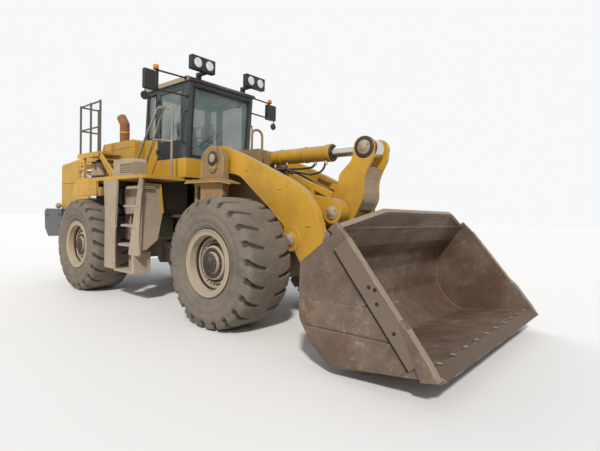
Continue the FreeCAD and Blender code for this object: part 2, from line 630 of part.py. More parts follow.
def hoses(barrel):
    """Oil lines slung under the tilt cylinder, from its foot to its head, ending on its skin."""
    axis_z = TILT_BASE[1]
    under = axis_z - TILT_BARREL_R + 25
    pipe = tube([V(-255, -60, under), V(-255, -60, axis_z - 215), V(405, -60, axis_z - 230),
                 V(620, -60, axis_z - 215), V(660, -60, under)], 19, 90)
    hose = tube([V(60, -100, axis_z - 72), V(60, -112, axis_z - 240), V(600, -112, axis_z - 345),
                 V(860, -112, axis_z - 300), V(905, -100, axis_z - 90)], 17, 160)
    return Part.makeCompound([line.cut(barrel) for line in (pipe, hose)])


def bucket():
    back = BUCKET_BACK
    outer = back + [(2265, 1523), (2392, 1644), BUCKET_TOP, BUCKET_TOE, (3420, 248)]
    side = plate_y(outer, BUCKET_HALF_W - BUCKET_WALL, BUCKET_HALF_W)
    shell_t = BUCKET_SHELL_T
    inner = [(3380, 292), (2374 + 20, 110 + shell_t, 140), (2111 + 30, 298 + shell_t - 10, 100),
             (1930 + shell_t, 553 + 10, 130), (1921 + shell_t, 867, 260), (1926 + shell_t, 1183 - 20, 90),
             (2228 + 14, 1414 - 38)]
    wrap = back + list(reversed(inner)) + [(3380, 244)]
    shell = plate_y(wrap, -BUCKET_HALF_W + BUCKET_WALL, BUCKET_HALF_W - BUCKET_WALL)
    back_w, down_h = CUTTER_W
    cutter = plate_y([BUCKET_TOP, BUCKET_TOE, (BUCKET_TOE[0] - back_w, BUCKET_TOE[1] - down_h),
                      (BUCKET_TOP[0] - back_w, BUCKET_TOP[1] - down_h)], BUCKET_HALF_W, BUCKET_HALF_W + CUTTER_T)
    corner = plate_y([(3160, 750), (3250, 680), (3470, 400), (3560, 262), (3400, 228), (3240, 560)],
                     BUCKET_HALF_W - BUCKET_WALL, BUCKET_HALF_W + CUTTER_T + 10)
    guard = spill_guard()
    parts = [shell, guard] + pair(side) + pair(cutter) + pair(corner)
    ear_in = BOOM_OUT_Y - BOOM_T - SIDE_GAP
    ear_out = BOOM_OUT_Y + SIDE_GAP
    roots = [(point[0] + BUCKET_SHELL_T / 2, point[1]) for point in back[1:4]]
    ear = [roots[0], (BUCKET_PIN[0], BUCKET_PIN[1] - 150, 120), (BUCKET_PIN[0] - 150, BUCKET_PIN[1] + 20, 120),
           (BUCKET_PIN[0] - 30, BUCKET_PIN[1] + 170, 100), roots[2], roots[1]]
    for y0, y1 in ((ear_in - 80, ear_in), (ear_out, ear_out + 80)):
        piece = plate_y(ear, y0, y1)
        piece = piece.cut(pin_y(BUCKET_PIN, MID_PIN_R + PIN_GAP, y0, y1))
        parts += [piece, mirrored(piece)]
    wall_x = roots[2][0]
    link_ear = plate_y([(wall_x, LINK_BUCKET_PIN[1] - 40), (LINK_BUCKET_PIN[0], LINK_BUCKET_PIN[1] - 105, 90),
                        (LINK_BUCKET_PIN[0] - 100, LINK_BUCKET_PIN[1], 80),
                        (LINK_BUCKET_PIN[0], LINK_BUCKET_PIN[1] + 105, 90), (wall_x, LINK_BUCKET_PIN[1] + 400)],
                       LINK_HALF_W + 30, LINK_HALF_W + 100)
    parts += [link_ear, mirrored(link_ear)]
    return fuse(parts)


def spill_guard():
    """Plate above the shell that leans forward, with a rib across its face."""
    half = [(BUCKET_HALF_W, -25), (BUCKET_HALF_W, 190), (1840, 250), (1020, 483)]
    outline = half + [(-y, s) for y, s in reversed(half)]
    plate = plate_x(outline, 0, SPILL_T).fuse(box(SPILL_T, SPILL_T + 16, -1800, 1800, 236, 254))
    plate.rotate(V(0, 0, 0), V(0, 1, 0), SPILL_LEAN)
    plate.translate(V(SPILL_BASE[0], 0, SPILL_BASE[1]))
    return plate


def cutting_edge():
    edge = plate_y([(3380, 244), (3537, 215), (3607, 262), (3440, 330), (3380, 292)],
                   -BUCKET_HALF_W + BUCKET_WALL, BUCKET_HALF_W - BUCKET_WALL)
    return edge


# Rear body

def rear_frame():
    nose_y0, nose_y1 = NOSE_Y
    y0, y1 = REAR_PLATE_Y
    nose = plate_y([(NOSE_X, HITCH_LOWER_Z[0]), (NOSE_JOINT_X, HITCH_LOWER_Z[0]), (NOSE_JOINT_X, REAR_TOP_Z),
                    (NOSE_X, REAR_TOP_Z)], nose_y0, nose_y1)
    rail = plate_y([(NOSE_JOINT_X, HITCH_LOWER_Z[0]), (REAR_AXLE_X + 1050, HITCH_LOWER_Z[0] + 20, 80),
                    (REAR_AXLE_X + 700, FRAME_SEAT_Z, 160), (REAR_AXLE_X - 700, FRAME_SEAT_Z, 160),
                    (REAR_AXLE_X - 950, 1050, 120), (COUNTERWEIGHT_X, 1050), (COUNTERWEIGHT_X, REAR_TOP_Z),
                    (NOSE_JOINT_X, REAR_TOP_Z)], y0, y1)
    parts = pair(nose) + pair(rail)
    parts.append(box(NOSE_JOINT_X - 60, NOSE_JOINT_X, -y1, y1, HITCH_LOWER_Z[0], REAR_TOP_Z))
    parts.append(box(NOSE_X - 60, NOSE_X, -nose_y1, nose_y1, HITCH_LOWER_Z[0], REAR_TOP_Z))
    for z0, z1 in (HITCH_UPPER_Z, HITCH_LOWER_Z):
        parts.append(hitch_plate(NOSE_X - 60, nose_y1, z0, z1))
    for x in (REAR_AXLE_X + 700, REAR_AXLE_X - 700):
        parts.append(box(x - 50, x + 50, -y1, y1, FRAME_SEAT_Z, REAR_TOP_Z))
    parts += slab(REAR_AXLE_X - PAD_HALF_L, REAR_AXLE_X + PAD_HALF_L, PAD_INNER_Y, PAD_OUTER_Y,
                  FRAME_SEAT_Z, FRAME_SEAT_Z + 50)
    x, y = HITCH_X + STEER_BASE[0], STEER_BASE[1]
    ear = [(x - 190, nose_y0), (x + 110, nose_y0), (x + 65, y + 75, 60), (x - 65, y + 75, 60)]
    parts += steer_lugs(ear, (x, y))
    parts += [deck_supports()]
    bore = Part.makeCylinder(HITCH_PIN_R + PIN_GAP, AXLE_Z * 2, V(HITCH_X, 0, 0))
    return fuse(parts).cut(bore)


def deck_supports():
    """Plate on the frame's top, the walls that carry the cab, and the arms under the walkways."""
    y1 = REAR_PLATE_Y[1]
    under = DECK_Z[0]
    parts = [box(COUNTERWEIGHT_X, NOSE_X, -y1, y1, REAR_TOP_Z, REAR_TOP_Z + FLOOR_T)]
    parts.append(box(CAB_WALL_X, CAB_WALL_X + 60, -CAB_HALF_W, CAB_HALF_W, REAR_TOP_Z, under))
    post = plate_x([(NOSE_Y[0], REAR_TOP_Z), (600, REAR_TOP_Z), (CAB_HALF_W, 1950), (CAB_HALF_W, under),
                    (NOSE_Y[0], under)], *CAB_POST_X)
    parts += pair(post)
    post_x = CAB_POST_X[1]
    parts.append(box(CAB_WALL_X, post_x, -CAB_FLOOR_HALF_W, CAB_FLOOR_HALF_W, under, CAB_BASE_Z))
    front_x = DECK_FRONT_X - 10
    parts.append(plate_z([(NOSE_X, -450), (post_x, -700, 40), (front_x, -700, 80), (front_x, 700, 80),
                          (post_x, 700, 40), (NOSE_X, 450)], REAR_TOP_Z, REAR_TOP_Z + FLOOR_T))
    parts += slab(CAB_WALL_X, CAB_WALL_X + 60, CAB_FLOOR_HALF_W, ARM_OUT_Y, under - ARM_H, under)
    x = REAR_ARM_X
    parts.append(box(x, x + 60, -620, 620, REAR_TOP_Z, REAR_TOP_Z + 60))
    parts += slab(x, x + 60, 560, 620, REAR_TOP_Z, under)
    parts += slab(x, x + 60, 560, ARM_OUT_Y, under - ARM_H, under)
    return fuse(parts)


def counterweight():
    """Cast block with a notch at the tail for the towing pin's two ears."""
    top = COUNTERWEIGHT_TOP_Z
    outline = [(COUNTERWEIGHT_X, 1150, 60), (COUNTERWEIGHT_X - 150, 1050, 60), (TAIL_X + 260, 1000, 120),
               (TAIL_X + 40, 1210, 90), (TAIL_X, top - 70, 60), (TAIL_X + 120, top, 60),
               (COUNTERWEIGHT_X, top, 20)]
    block = plate_y(outline, -COUNTERWEIGHT_HALF_W, COUNTERWEIGHT_HALF_W)
    block = block.cut(box(TAIL_X - 10, TAIL_X + TOW_DEPTH, -TOW_HALF_W, TOW_HALF_W, AXLE_Z, TOW_EAR_Z[3] + 60))
    for low, high in (TOW_EAR_Z[:2], TOW_EAR_Z[2:]):
        ear_half = TOW_HALF_W - 60
        block = block.fuse(box(TAIL_X + 15, TAIL_X + TOW_DEPTH + 20, -ear_half, ear_half, low, high))
    bore = Part.makeCylinder(TOW_BORE_R, TOW_EAR_Z[3] - TOW_EAR_Z[0], V(TOW_PIN_X, 0, TOW_EAR_Z[0]))
    well = Part.makeCylinder(TOW_WELL_R, top - TOW_EAR_Z[3], V(TOW_PIN_X, 0, TOW_EAR_Z[3]))
    return block.cut([bore, well]).removeSplitter()


def engine_block():
    return box(*ENGINE_X, -ENGINE_HALF_W, ENGINE_HALF_W, REAR_TOP_Z + FLOOR_T, ENGINE_TOP_Z)


def hood():
    """Open-bottomed housing over the engine: roof, sides and front wall, with the side and rear openings."""
    outline = [(HOOD_FRONT_X, DECK_Z[1]), (HOOD_REAR_X, DECK_Z[1]), (HOOD_REAR_X, HOOD_TAIL_Z, 90),
               (HOOD_STEP_X, HOOD_STEP_Z, 40), (HOOD_STEP_X + 70, HOOD_TOP_Z, 40),
               (HOOD_FRONT_X, HOOD_TOP_Z, 60)]
    t = HOOD_T
    inside = [(HOOD_FRONT_X - t, DECK_Z[1]), (HOOD_REAR_X, DECK_Z[1]), (HOOD_REAR_X, HOOD_TAIL_Z - t),
              (HOOD_STEP_X, HOOD_STEP_Z - t), (HOOD_STEP_X + 70 - t, HOOD_TOP_Z - t),
              (HOOD_FRONT_X - t, HOOD_TOP_Z - t)]
    body = plate_y(outline, -HOOD_HALF_W, HOOD_HALF_W)
    body = body.cut(plate_y(inside, -HOOD_HALF_W + t, HOOD_HALF_W - t))
    opening = box(*ENGINE_DOOR_X, -HOOD_HALF_W, HOOD_HALF_W, *ENGINE_DOOR_Z)
    frame = pair(box(HOOD_REAR_X, HOOD_REAR_X + GRILLE_T, GRILLE_HALF_W + GRILLE_GAP, HOOD_HALF_W - t,
                     DECK_Z[1], GRILLE_Z[1] + 10))
    fixed = engine_hinge()[1]
    return fuse([body.cut(opening)] + frame + pair(fixed) + [grille_hinge(GRILLE_HINGE_Z[1:])[1]])


def hinge_halves(heights):
    """Moving and fixed half of a door's hinge about the Z axis, its skin HINGE_RISE below and along +X."""
    moving, fixed = [], []
    for z in heights:
        moving.append(Part.makeCylinder(KNUCKLE_R, KNUCKLE_H, V(0, 0, z)))
        moving.append(box(0, HINGE_REACH, -HINGE_RISE, KNUCKLE_R / 2, z, z + KNUCKLE_H))
        for low in (z - HINGE_GAP - FIXED_KNUCKLE_H, z + KNUCKLE_H + HINGE_GAP):
            fixed.append(Part.makeCylinder(KNUCKLE_R, FIXED_KNUCKLE_H, V(0, 0, low)))
            fixed.append(box(-HINGE_REACH, 0, -HINGE_RISE, KNUCKLE_R / 2, low, low + FIXED_KNUCKLE_H))
    bores = [Part.makeCylinder(DOOR_PIN_R + PIN_GAP, KNUCKLE_H, V(0, 0, z)) for z in heights]
    pin_low = HINGE_GAP + FIXED_KNUCKLE_H
    pins = [Part.makeCylinder(DOOR_PIN_R, KNUCKLE_H + 2 * pin_low, V(0, 0, z - pin_low)) for z in heights]
    return fuse(moving).cut(bores), fuse(fixed + pins)


def moved(shape, x, y):
    shape.translate(V(x, y, 0))
    return shape


def engine_hinge():
    heights = (ENGINE_DOOR_Z[0] + 60, ENGINE_DOOR_Z[1] - 100)
    halves = [half.mirror(V(0, 0, 0), V(1, 0, 0)) for half in hinge_halves(heights)]
    return [moved(half, ENGINE_DOOR_X[1] - DOOR_GAP / 2, HOOD_HALF_W + HINGE_RISE) for half in halves]


def grille_hinge(heights):
    halves = [half.mirror(V(0, 0, 0), V(1, 0, 0)) for half in hinge_halves(heights)]
    for half in halves:
        half.rotate(V(0, 0, 0), V(0, 0, 1), 90)
    return [moved(half, HOOD_REAR_X - HINGE_RISE, GRILLE_HALF_W + GRILLE_GAP / 2) for half in halves]


def cab_door_hinge():
    heights = (DOOR_Z[0] + 150, DOOR_Z[1] - 210)
    return [moved(half, DOOR_X[0] - DOOR_GAP, CAB_HALF_W + HINGE_RISE) for half in hinge_halves(heights)]


def engine_door(side):
    """Louvred side door of the hood, hung at its front edge."""
    gap = DOOR_GAP
    x0, x1 = ENGINE_DOOR_X[0] + gap, ENGINE_DOOR_X[1] - gap
    z0, z1 = ENGINE_DOOR_Z[0] + gap, ENGINE_DOOR_Z[1] - gap
    y0, y1 = HOOD_HALF_W - HOOD_T, HOOD_HALF_W
    door_frame = box(x0, x1, y0, y1, z0, z1).cut(box(x0 + 60, x1 - 60, y0, y1, z0 + 50, z1 - 50))
    slats = [box(x0 + 50, x1 - 50, y0, y1 - 4, z, z + 22) for z in louvre_heights(z0 + 60, z1 - 70, 7)]
    door = fuse([door_frame] + slats + [engine_hinge()[0]])
    return door if side > 0 else mirrored(door)


def louvre_heights(low, high, count):
    return [low + (high - low) * i / (count - 1) for i in range(count)]


def rear_grille():
    """Swing-out grille at the tail, hung at its left edge."""
    half = GRILLE_HALF_W
    x0, x1 = HOOD_REAR_X, HOOD_REAR_X + GRILLE_T
    z0, z1 = GRILLE_Z
    grille = box(x0, x1, -half, half, z0, z1).cut(box(x0, x1, -half + 70, half - 70, z0 + 70, z1 - 70))
    bars = [box(x0 + 8, x1 - 8, -half + 60, half - 60, z, z + 24) for z in louvre_heights(z0 + 90, z1 - 114, 11)]
    return fuse([grille] + bars + [grille_hinge(GRILLE_HINGE_Z)[0]])


def lower_panels():
    """Side panels under the hood, cut back over the rear wheels, with posts beside the grille."""
    t = HOOD_T
    front_x = DECK_REAR_X - 10
    side = plate_y([(HOOD_REAR_X, COUNTERWEIGHT_TOP_Z), (REAR_AXLE_X - 1350, COUNTERWEIGHT_TOP_Z, 120),
                    (REAR_AXLE_X - 1050, SKIRT_Z + 30, 120), (front_x, SKIRT_Z + 30), (front_x, DECK_Z[1]),
                    (HOOD_REAR_X, DECK_Z[1])], HOOD_HALF_W - t, HOOD_HALF_W)
    post = box(HOOD_REAR_X, HOOD_REAR_X + GRILLE_T, GRILLE_HALF_W + GRILLE_GAP, HOOD_HALF_W - t,
               COUNTERWEIGHT_TOP_Z, DECK_Z[1])
    right = mirrored(fuse([side, post]))
    left = fuse([side, post, grille_hinge(GRILLE_HINGE_Z[:1])[1]])
    return Part.makeCompound([left, right])


def deck():
    """Walkway with its outer skirt, and the raised platform beside the hood with its stair."""
    inner = HOOD_HALF_W - 60
    cab_y = CAB_HALF_W - 70
    post_x = CAB_POST_X[1]
    side = plate_z([(DECK_REAR_X, inner), (DECK_REAR_X, DECK_OUT_Y, 60), (DECK_FRONT_X, DECK_OUT_Y, 60),
                    (DECK_FRONT_X, cab_y), (post_x, cab_y), (post_x, CAB_FLOOR_HALF_W),
                    (CAB_WALL_X, CAB_FLOOR_HALF_W), (HOOD_FRONT_X - 20, inner)], *DECK_Z)
    skirt = plate_y([(SKIRT_X[1], DECK_Z[0]), (SKIRT_X[1], SKIRT_Z, 60), (SKIRT_X[0] - 205, SKIRT_Z, 40),
                     (SKIRT_X[0], DECK_Z[0])], DECK_OUT_Y - 50, DECK_OUT_Y)
    upper_x0, upper_x1 = UPPER_DECK_X
    under = UPPER_DECK_Z - 40
    upper = box(upper_x0, upper_x1, HOOD_HALF_W, UPPER_DECK_OUT_Y, under, UPPER_DECK_Z)
    toe = box(upper_x0, upper_x1, UPPER_DECK_OUT_Y - 12, UPPER_DECK_OUT_Y, under - 60, under)
    post = box(DECK_REAR_X + 20, DECK_REAR_X + 70, RAIL_Y - 25, RAIL_Y + 25, DECK_Z[1], under)
    return both_sides(fuse([side, skirt, upper, toe, post] + stair()))


def stair():
    """Sloping side plate and treads from the walkway up to the platform."""
    y0, y1 = STAIR_Y
    foot_x, top_x = STEP_BOX_X[0] - 20, UPPER_DECK_X[1]
    low, high = DECK_Z[1], UPPER_DECK_Z - 40
    side = plate_y([(foot_x, low), (foot_x, low + 90), (top_x, UPPER_DECK_Z), (top_x - 120, high),
                    (foot_x - 180, low)], y1, y1 + 16)
    pieces = [side]
    for share in (0.25, 0.5, 0.75):
        x = foot_x - 90 + (top_x - foot_x) * share
        z = low + (high - low) * share
        pieces.append(box(x - 110, x + 110, y0, y1, z, z + 20))
    inner_side = box(foot_x - 500, foot_x - 460, y0, y0 + 16, low, low + 300)
    return pieces + [inner_side.fuse(box(top_x, foot_x - 60, y0, y0 + 16, low, low + 60))]


def step_boxes():
    """Boxes beside the cab that serve as steps, and the filter canisters under the platform."""
    x0, x1 = STEP_BOX_X
    y0, y1 = STEP_BOX_Y
    low = DECK_Z[1]
    case = plate_y([(x0, low), (x1, low), (x1, STEP_BOX_Z - 60, 20), (x1 - 60, STEP_BOX_Z, 30),
                    (x0, STEP_BOX_Z, 20)], y0, y1)
    vent = box(x0 + 260, x1 - 20, y1 - 25, y1, low + 70, low + 240)
    slats = [box(x0 + 250, x1 - 10, y1 - 25, y1 - 8, z, z + 14) for z in louvre_heights(low + 90, low + 210, 4)]
    cans = [Part.makeCylinder(95, 400, V(UPPER_DECK_X[0] + at, 1230, low)) for at in (330, 570)]
    return both_sides(fuse([case.cut(vent)] + slats)), both_sides(Part.makeCompound(cans))


def side_tanks():
    x0, x1 = TANK_X
    z0, z1 = TANK_Z
    return both_sides(plate_y([(x0, z0, 60), (x1, z0, 90), (x1, z1, 90), (x0, z1, 60)], *TANK_Y))


def ladders():
    """Boarding ladders: side plates under the deck, leaning treads between them and a step at the bottom."""
    plate_in, plate_out = LADDER_PLATE_Y, DECK_OUT_Y
    under = DECK_Z[0]
    foot_x = LADDER_FOOT_X
    wall_x = CAB_WALL_X
    front_low_x, front_top_x = HITCH_X - 215, HITCH_X + 145
    low_z = 900
    rear_side = plate_y([(wall_x - 70, under), (wall_x, 1700), (wall_x, 590, 40), (foot_x, 590, 40),
                         (foot_x, 1400), (foot_x + 70, under)], plate_in, plate_out)
    front_side = plate_y([(front_top_x, under), (front_low_x, low_z, 30), (HITCH_X + 165, low_z, 30),
                          (HITCH_X + 225, under)], plate_in, plate_out)
    treads = []
    for share in (0.12, 0.38, 0.64, 0.88):
        z = low_z + (under - low_z) * share
        x = front_low_x + (front_top_x - front_low_x + 20) * share
        treads.append(box(x - 470, x + 60, LADDER_IN_Y, plate_in + 20, z - 20, z + 20))
    step_low, step_t = 560, 40
    step_top = step_low + step_t
    stringer_x = HITCH_X - 105
    neck_x, neck_z = HITCH_X - 205, FENDER_Z[0] - 30
    stringer = plate_y([(foot_x, step_top), (stringer_x, step_top), (stringer_x, low_z - 20),
                        (HITCH_X + 80, neck_z), (neck_x, neck_z), (neck_x, under), (HITCH_X - 415, under),
                        (foot_x, low_z - 20)], LADDER_IN_Y - step_t, LADDER_IN_Y)
    x0, x1 = LADDER_STEP_X
    bottom = fuse([box(x0, x1, LADDER_IN_Y - step_t, plate_out, step_low, step_top),
                   box(x1 - 90, x1, LADDER_IN_Y - step_t, plate_out, step_top, low_z + 60)])
    return both_sides(fuse([rear_side, front_side, stringer, bottom] + mudguard() + treads))


def mudguard():
    """Panel behind the front wheel with a flange along its inner edge."""
    high = FENDER_Z[0] - 20
    inner = [(1195, high), (1175, 1980), (1135, 1680)]
    panel = plate_x(inner + [(1230, 1190), (1450, 1010), (LADDER_PLATE_Y + 10, 1010),
                             (LADDER_PLATE_Y + 10, high)], *MUDGUARD_X)
    flange = plate_x(inner + [(y + 28, z) for y, z in reversed(inner)], MUDGUARD_X[0], MUDGUARD_X[1] + 40)
    return [panel, flange]


def handrails():
    """Rails around the raised platforms."""
    rear, front = UPPER_DECK_X[0] + 40, UPPER_DECK_X[1] - 40
    inner = HOOD_HALF_W + 60
    posts = [(rear, RAIL_Y), ((rear + front) / 2 + 30, RAIL_Y), (front, RAIL_Y), (rear, inner)]
    rails = [rod(V(x, y, UPPER_DECK_Z), V(x, y, RAIL_TOP_Z), RAIL_R) for x, y in posts]
    for z in (RAIL_TOP_Z - RAIL_R - 4, RAIL_MID_Z):
        rails.append(rod(V(rear, RAIL_Y, z), V(front, RAIL_Y, z), RAIL_BAR_R))
        rails.append(rod(V(rear, RAIL_Y, z), V(rear, inner, z), RAIL_BAR_R))
    return both_sides(fuse(rails))


def guard_rails():
    """Bent rail beside the right window, standing on the walkway."""
    y = GUARD_RAIL_Y
    x, low = CAB_FRONT_X, DECK_Z[1]
    post_x = x - 110
    hoop = tube([V(x - 1590, y, low), V(x - 1100, y, 3110), V(x - 600, y, 3710), V(x - 320, y, 3670),
                 V(post_x, y, 3590), V(post_x, y, low)], RAIL_R, 120)
    second = rod(V(x - 1213, y, low), V(x - 390, y, 3680), RAIL_BAR_R)
    bar = rod(V(x - 728, y, 3110), V(post_x, y, 3020), RAIL_BAR_R)
    below = box(x - 1700, x, y - 100, y + 100, DECK_Z[0], low)
    return fuse([hoop, second, bar]).cut(below)


def exhaust_stack():
    foot = V(STACK_X, STACK_Y, HOOD_TOP_Z)
    elbow = foot + V(0, 0, STACK_H)
    bend = rod(elbow, elbow + V(-150, 0, 170), STACK_R)
    return fuse([rod(foot, elbow, STACK_R), Part.makeSphere(STACK_R, elbow), bend])


def cab_shell():
    """Hollow cab body with its window and door openings, and the fixed halves of the door hinges."""
    t = CAB_T
    sill = CAB_REAR_SILL_Z
    top_x = CAB_REAR_X + CAB_REAR_LEAN
    outline = [(CAB_REAR_X, CAB_BASE_Z), (CAB_FRONT_X, CAB_BASE_Z), (CAB_FRONT_X, CAB_SILL_Z),
               (CAB_TOP_FRONT_X, CAB_EAVE_Z), (top_x, CAB_EAVE_Z), (CAB_REAR_X, sill)]
    inner = [(CAB_REAR_X + t, CAB_BASE_Z + t), (CAB_FRONT_X - t, CAB_BASE_Z + t), (CAB_FRONT_X - t, CAB_SILL_Z),
             (CAB_TOP_FRONT_X - t, CAB_EAVE_Z), (top_x + t, CAB_EAVE_Z), (CAB_REAR_X + t, sill)]
    body = plate_y(outline, -CAB_HALF_W, CAB_HALF_W)
    body = body.cut(plate_y(inner, -CAB_HALF_W + t, CAB_HALF_W - t))
    out = CAB_HALF_W + 10
    front_half, rear_half = CAB_HALF_W - WINDOW_RIM, CAB_HALF_W - REAR_WINDOW_RIM
    windshield = box(CAB_FRONT_X - 270, CAB_FRONT_X + 380, -front_half, front_half, *front_glass_z())
    rear_window = box(CAB_REAR_X - 150, CAB_REAR_X + 200, -rear_half, rear_half, *rear_glass_z())
    doors = box(*DOOR_X, -out, out, *DOOR_Z)
    side_window = box(*quarter_x(), -out, out, sill + 10, rear_glass_z()[1])
    for opening in (windshield, rear_window, doors, side_window):
        body = body.cut(opening)
    return fuse([body] + pair(cab_door_hinge()[1]))


def front_glass_z():
    return CAB_SILL_Z + 20, CAB_EAVE_Z - 70


def rear_glass_z():
    return CAB_REAR_SILL_Z + 90, CAB_EAVE_Z - 80


def quarter_x():
    """Ends of the small side window behind the door."""
    return CAB_REAR_X + 130, DOOR_X[0] - 90


def cab_roof():
    front_x, rear_x = CAB_TOP_FRONT_X + 60, CAB_REAR_X + 40
    low, high = CAB_EAVE_Z, CAB_ROOF_Z
    half_w = CAB_HALF_W + ROOF_OUT
    return plate_y([(rear_x, low, 20), (front_x, low, 20), (front_x - 10, high - 45, 30),
                    (front_x - 90, high, 60), (rear_x + 80, high, 60), (rear_x, high - 45, 30)],
                   -half_w, half_w)


def cab_glass():
    """Windscreen, rear window and the two small side windows."""
    slope = (CAB_TOP_FRONT_X - CAB_FRONT_X) / (CAB_EAVE_Z - CAB_SILL_Z)
    lean = CAB_REAR_LEAN / (CAB_EAVE_Z - CAB_REAR_SILL_Z)

    def pane(x_at, z0, z1, half):
        x0, x1 = x_at(z0), x_at(z1)
        return plate_y([(x0, z0), (x0 + GLASS_T, z0), (x1 + GLASS_T, z1), (x1, z1)], -half, half)

    front = pane(lambda z: CAB_FRONT_X - CAB_T / 2 + (z - CAB_SILL_Z) * slope, *front_glass_z(),
                 CAB_HALF_W - WINDOW_RIM)
    rear = pane(lambda z: CAB_REAR_X + CAB_T / 2 + (z - CAB_REAR_SILL_Z) * lean, *rear_glass_z(),
                CAB_HALF_W - REAR_WINDOW_RIM)
    pane_y = CAB_HALF_W - CAB_T / 2
    quarter = box(*quarter_x(), pane_y, pane_y + GLASS_T, CAB_REAR_SILL_Z + 10, rear_glass_z()[1])
    return Part.makeCompound([front, rear, quarter, mirrored(quarter)])


def door(side):
    """Framed door; its glass lies in a rebate and its knuckles turn on the cab's pins."""
    x0, x1 = DOOR_X[0] + DOOR_GAP, DOOR_X[1] - DOOR_GAP
    z0, z1 = DOOR_Z[0] + DOOR_GAP, DOOR_Z[1] - DOOR_GAP
    y0 = CAB_HALF_W - DOOR_T
    y1 = CAB_HALF_W
    panel = box(x0, x1, y0, y1, z0, z1)
    panel = panel.cut(box(x0 + DOOR_RIM, x1 - DOOR_RIM, y0, y1, z0 + DOOR_RIM, z1 - DOOR_RIM))
    leaf = fuse([panel, cab_door_hinge()[0]])
    return leaf if side > 0 else mirrored(leaf)


def door_glass(side):
    edge = DOOR_GAP + DOOR_RIM
    y0 = CAB_HALF_W - DOOR_T / 2
    pane = box(DOOR_X[0] + edge, DOOR_X[1] - edge, y0, y0 + GLASS_T, DOOR_Z[0] + edge, DOOR_Z[1] - edge)
    return pane if side > 0 else mirrored(pane)


def seat():
    x = DOOR_X[0]
    floor = CAB_BASE_Z + CAB_T
    cushion = box(x - 110, x + 390, -260, 260, 2850, 3000)
    back = plate_y([(x - 110, 3000), (x - 10, 3000), (x - 140, 3620, 30), (x - 240, 3620, 30)], -240, 240)
    return fuse([cushion, back, box(x - 10, x + 290, -180, 180, floor, 2850)])


def console():
    x = CAB_FRONT_X
    floor = CAB_BASE_Z + CAB_T
    column = plate_y([(x - 350, floor), (x - 200, floor), (x - 240, 3050, 30), (x - 380, 3080, 30)], -120, 120)
    pods = [box(x - 920, x - 470, s * 380 - 70, s * 380 + 70, floor, 3100) for s in (1, -1)]
    return Part.makeCompound([column] + pods)


def work_lamps():
    """Pairs of lamps in one housing that stand before the roof's front edge."""
    x0, x1 = LAMP_X
    y0, y1 = LAMP_Y
    housing = box(x0, x1, y0, y1, *LAMP_Z)
    arm_x = CAB_TOP_FRONT_X - 90
    foot = box(arm_x, arm_x + 70, y0 + 120, y0 + 200, CAB_ROOF_Z, LAMP_Z[0] + 40)
    arm = box(arm_x, x0 + 20, y0 + 120, y0 + 200, LAMP_Z[0] - 10, LAMP_Z[0] + 40)
    return both_sides(fuse([housing, foot, arm]))


def mirrors():
    """Bent arms off the cab's front corners, each with a mirror, a small round mirror and a lamp."""
    roof_y = CAB_HALF_W + ROOF_OUT
    x, y = MIRROR_X, MIRROR_Y
    high, low = CAB_EAVE_Z + 50, CAB_EAVE_Z - 280
    feet = [box(x, x + 80, roof_y, roof_y + 12, high - 35, high + 35),
            box(x, x + 80, CAB_HALF_W, CAB_HALF_W + 12, low - 35, low + 35)]
    arm = tube([V(x + 40, roof_y + 6, high), V(x, y, high), V(x, y, low),
                V(x + 40, CAB_HALF_W + 6, low)], 16, 60)
    face = plate_z([(x - 95, y - 60, 20), (x + 5, y - 60, 20), (x + 5, y + 220, 20), (x - 95, y + 220, 40)],
                   low - 20, high - 20)
    stem = rod(V(x - 40, y + 180, low - 15), V(x - 40, y + 180, low - 150), 10)
    small = Part.makeCylinder(75, 25, V(x - 60, y + 180, low - 150), V(1, 0, 0))
    beacon = Part.makeCylinder(42, 75, V(x, y, high + 5))
    return both_sides(fuse(feet + [arm, face, stem, small, beacon]))


# Every node, with the machine moved so that its origin is under the middle of its length

MIDDLE_X = (LIP[0] + TAIL_X) / 2


def save(name, shape):
    placed = shape.copy()
    placed.translate(V(-MIDDLE_X, 0, 0))
    placed.exportStep("parts/" + name + ".step")
    return placed


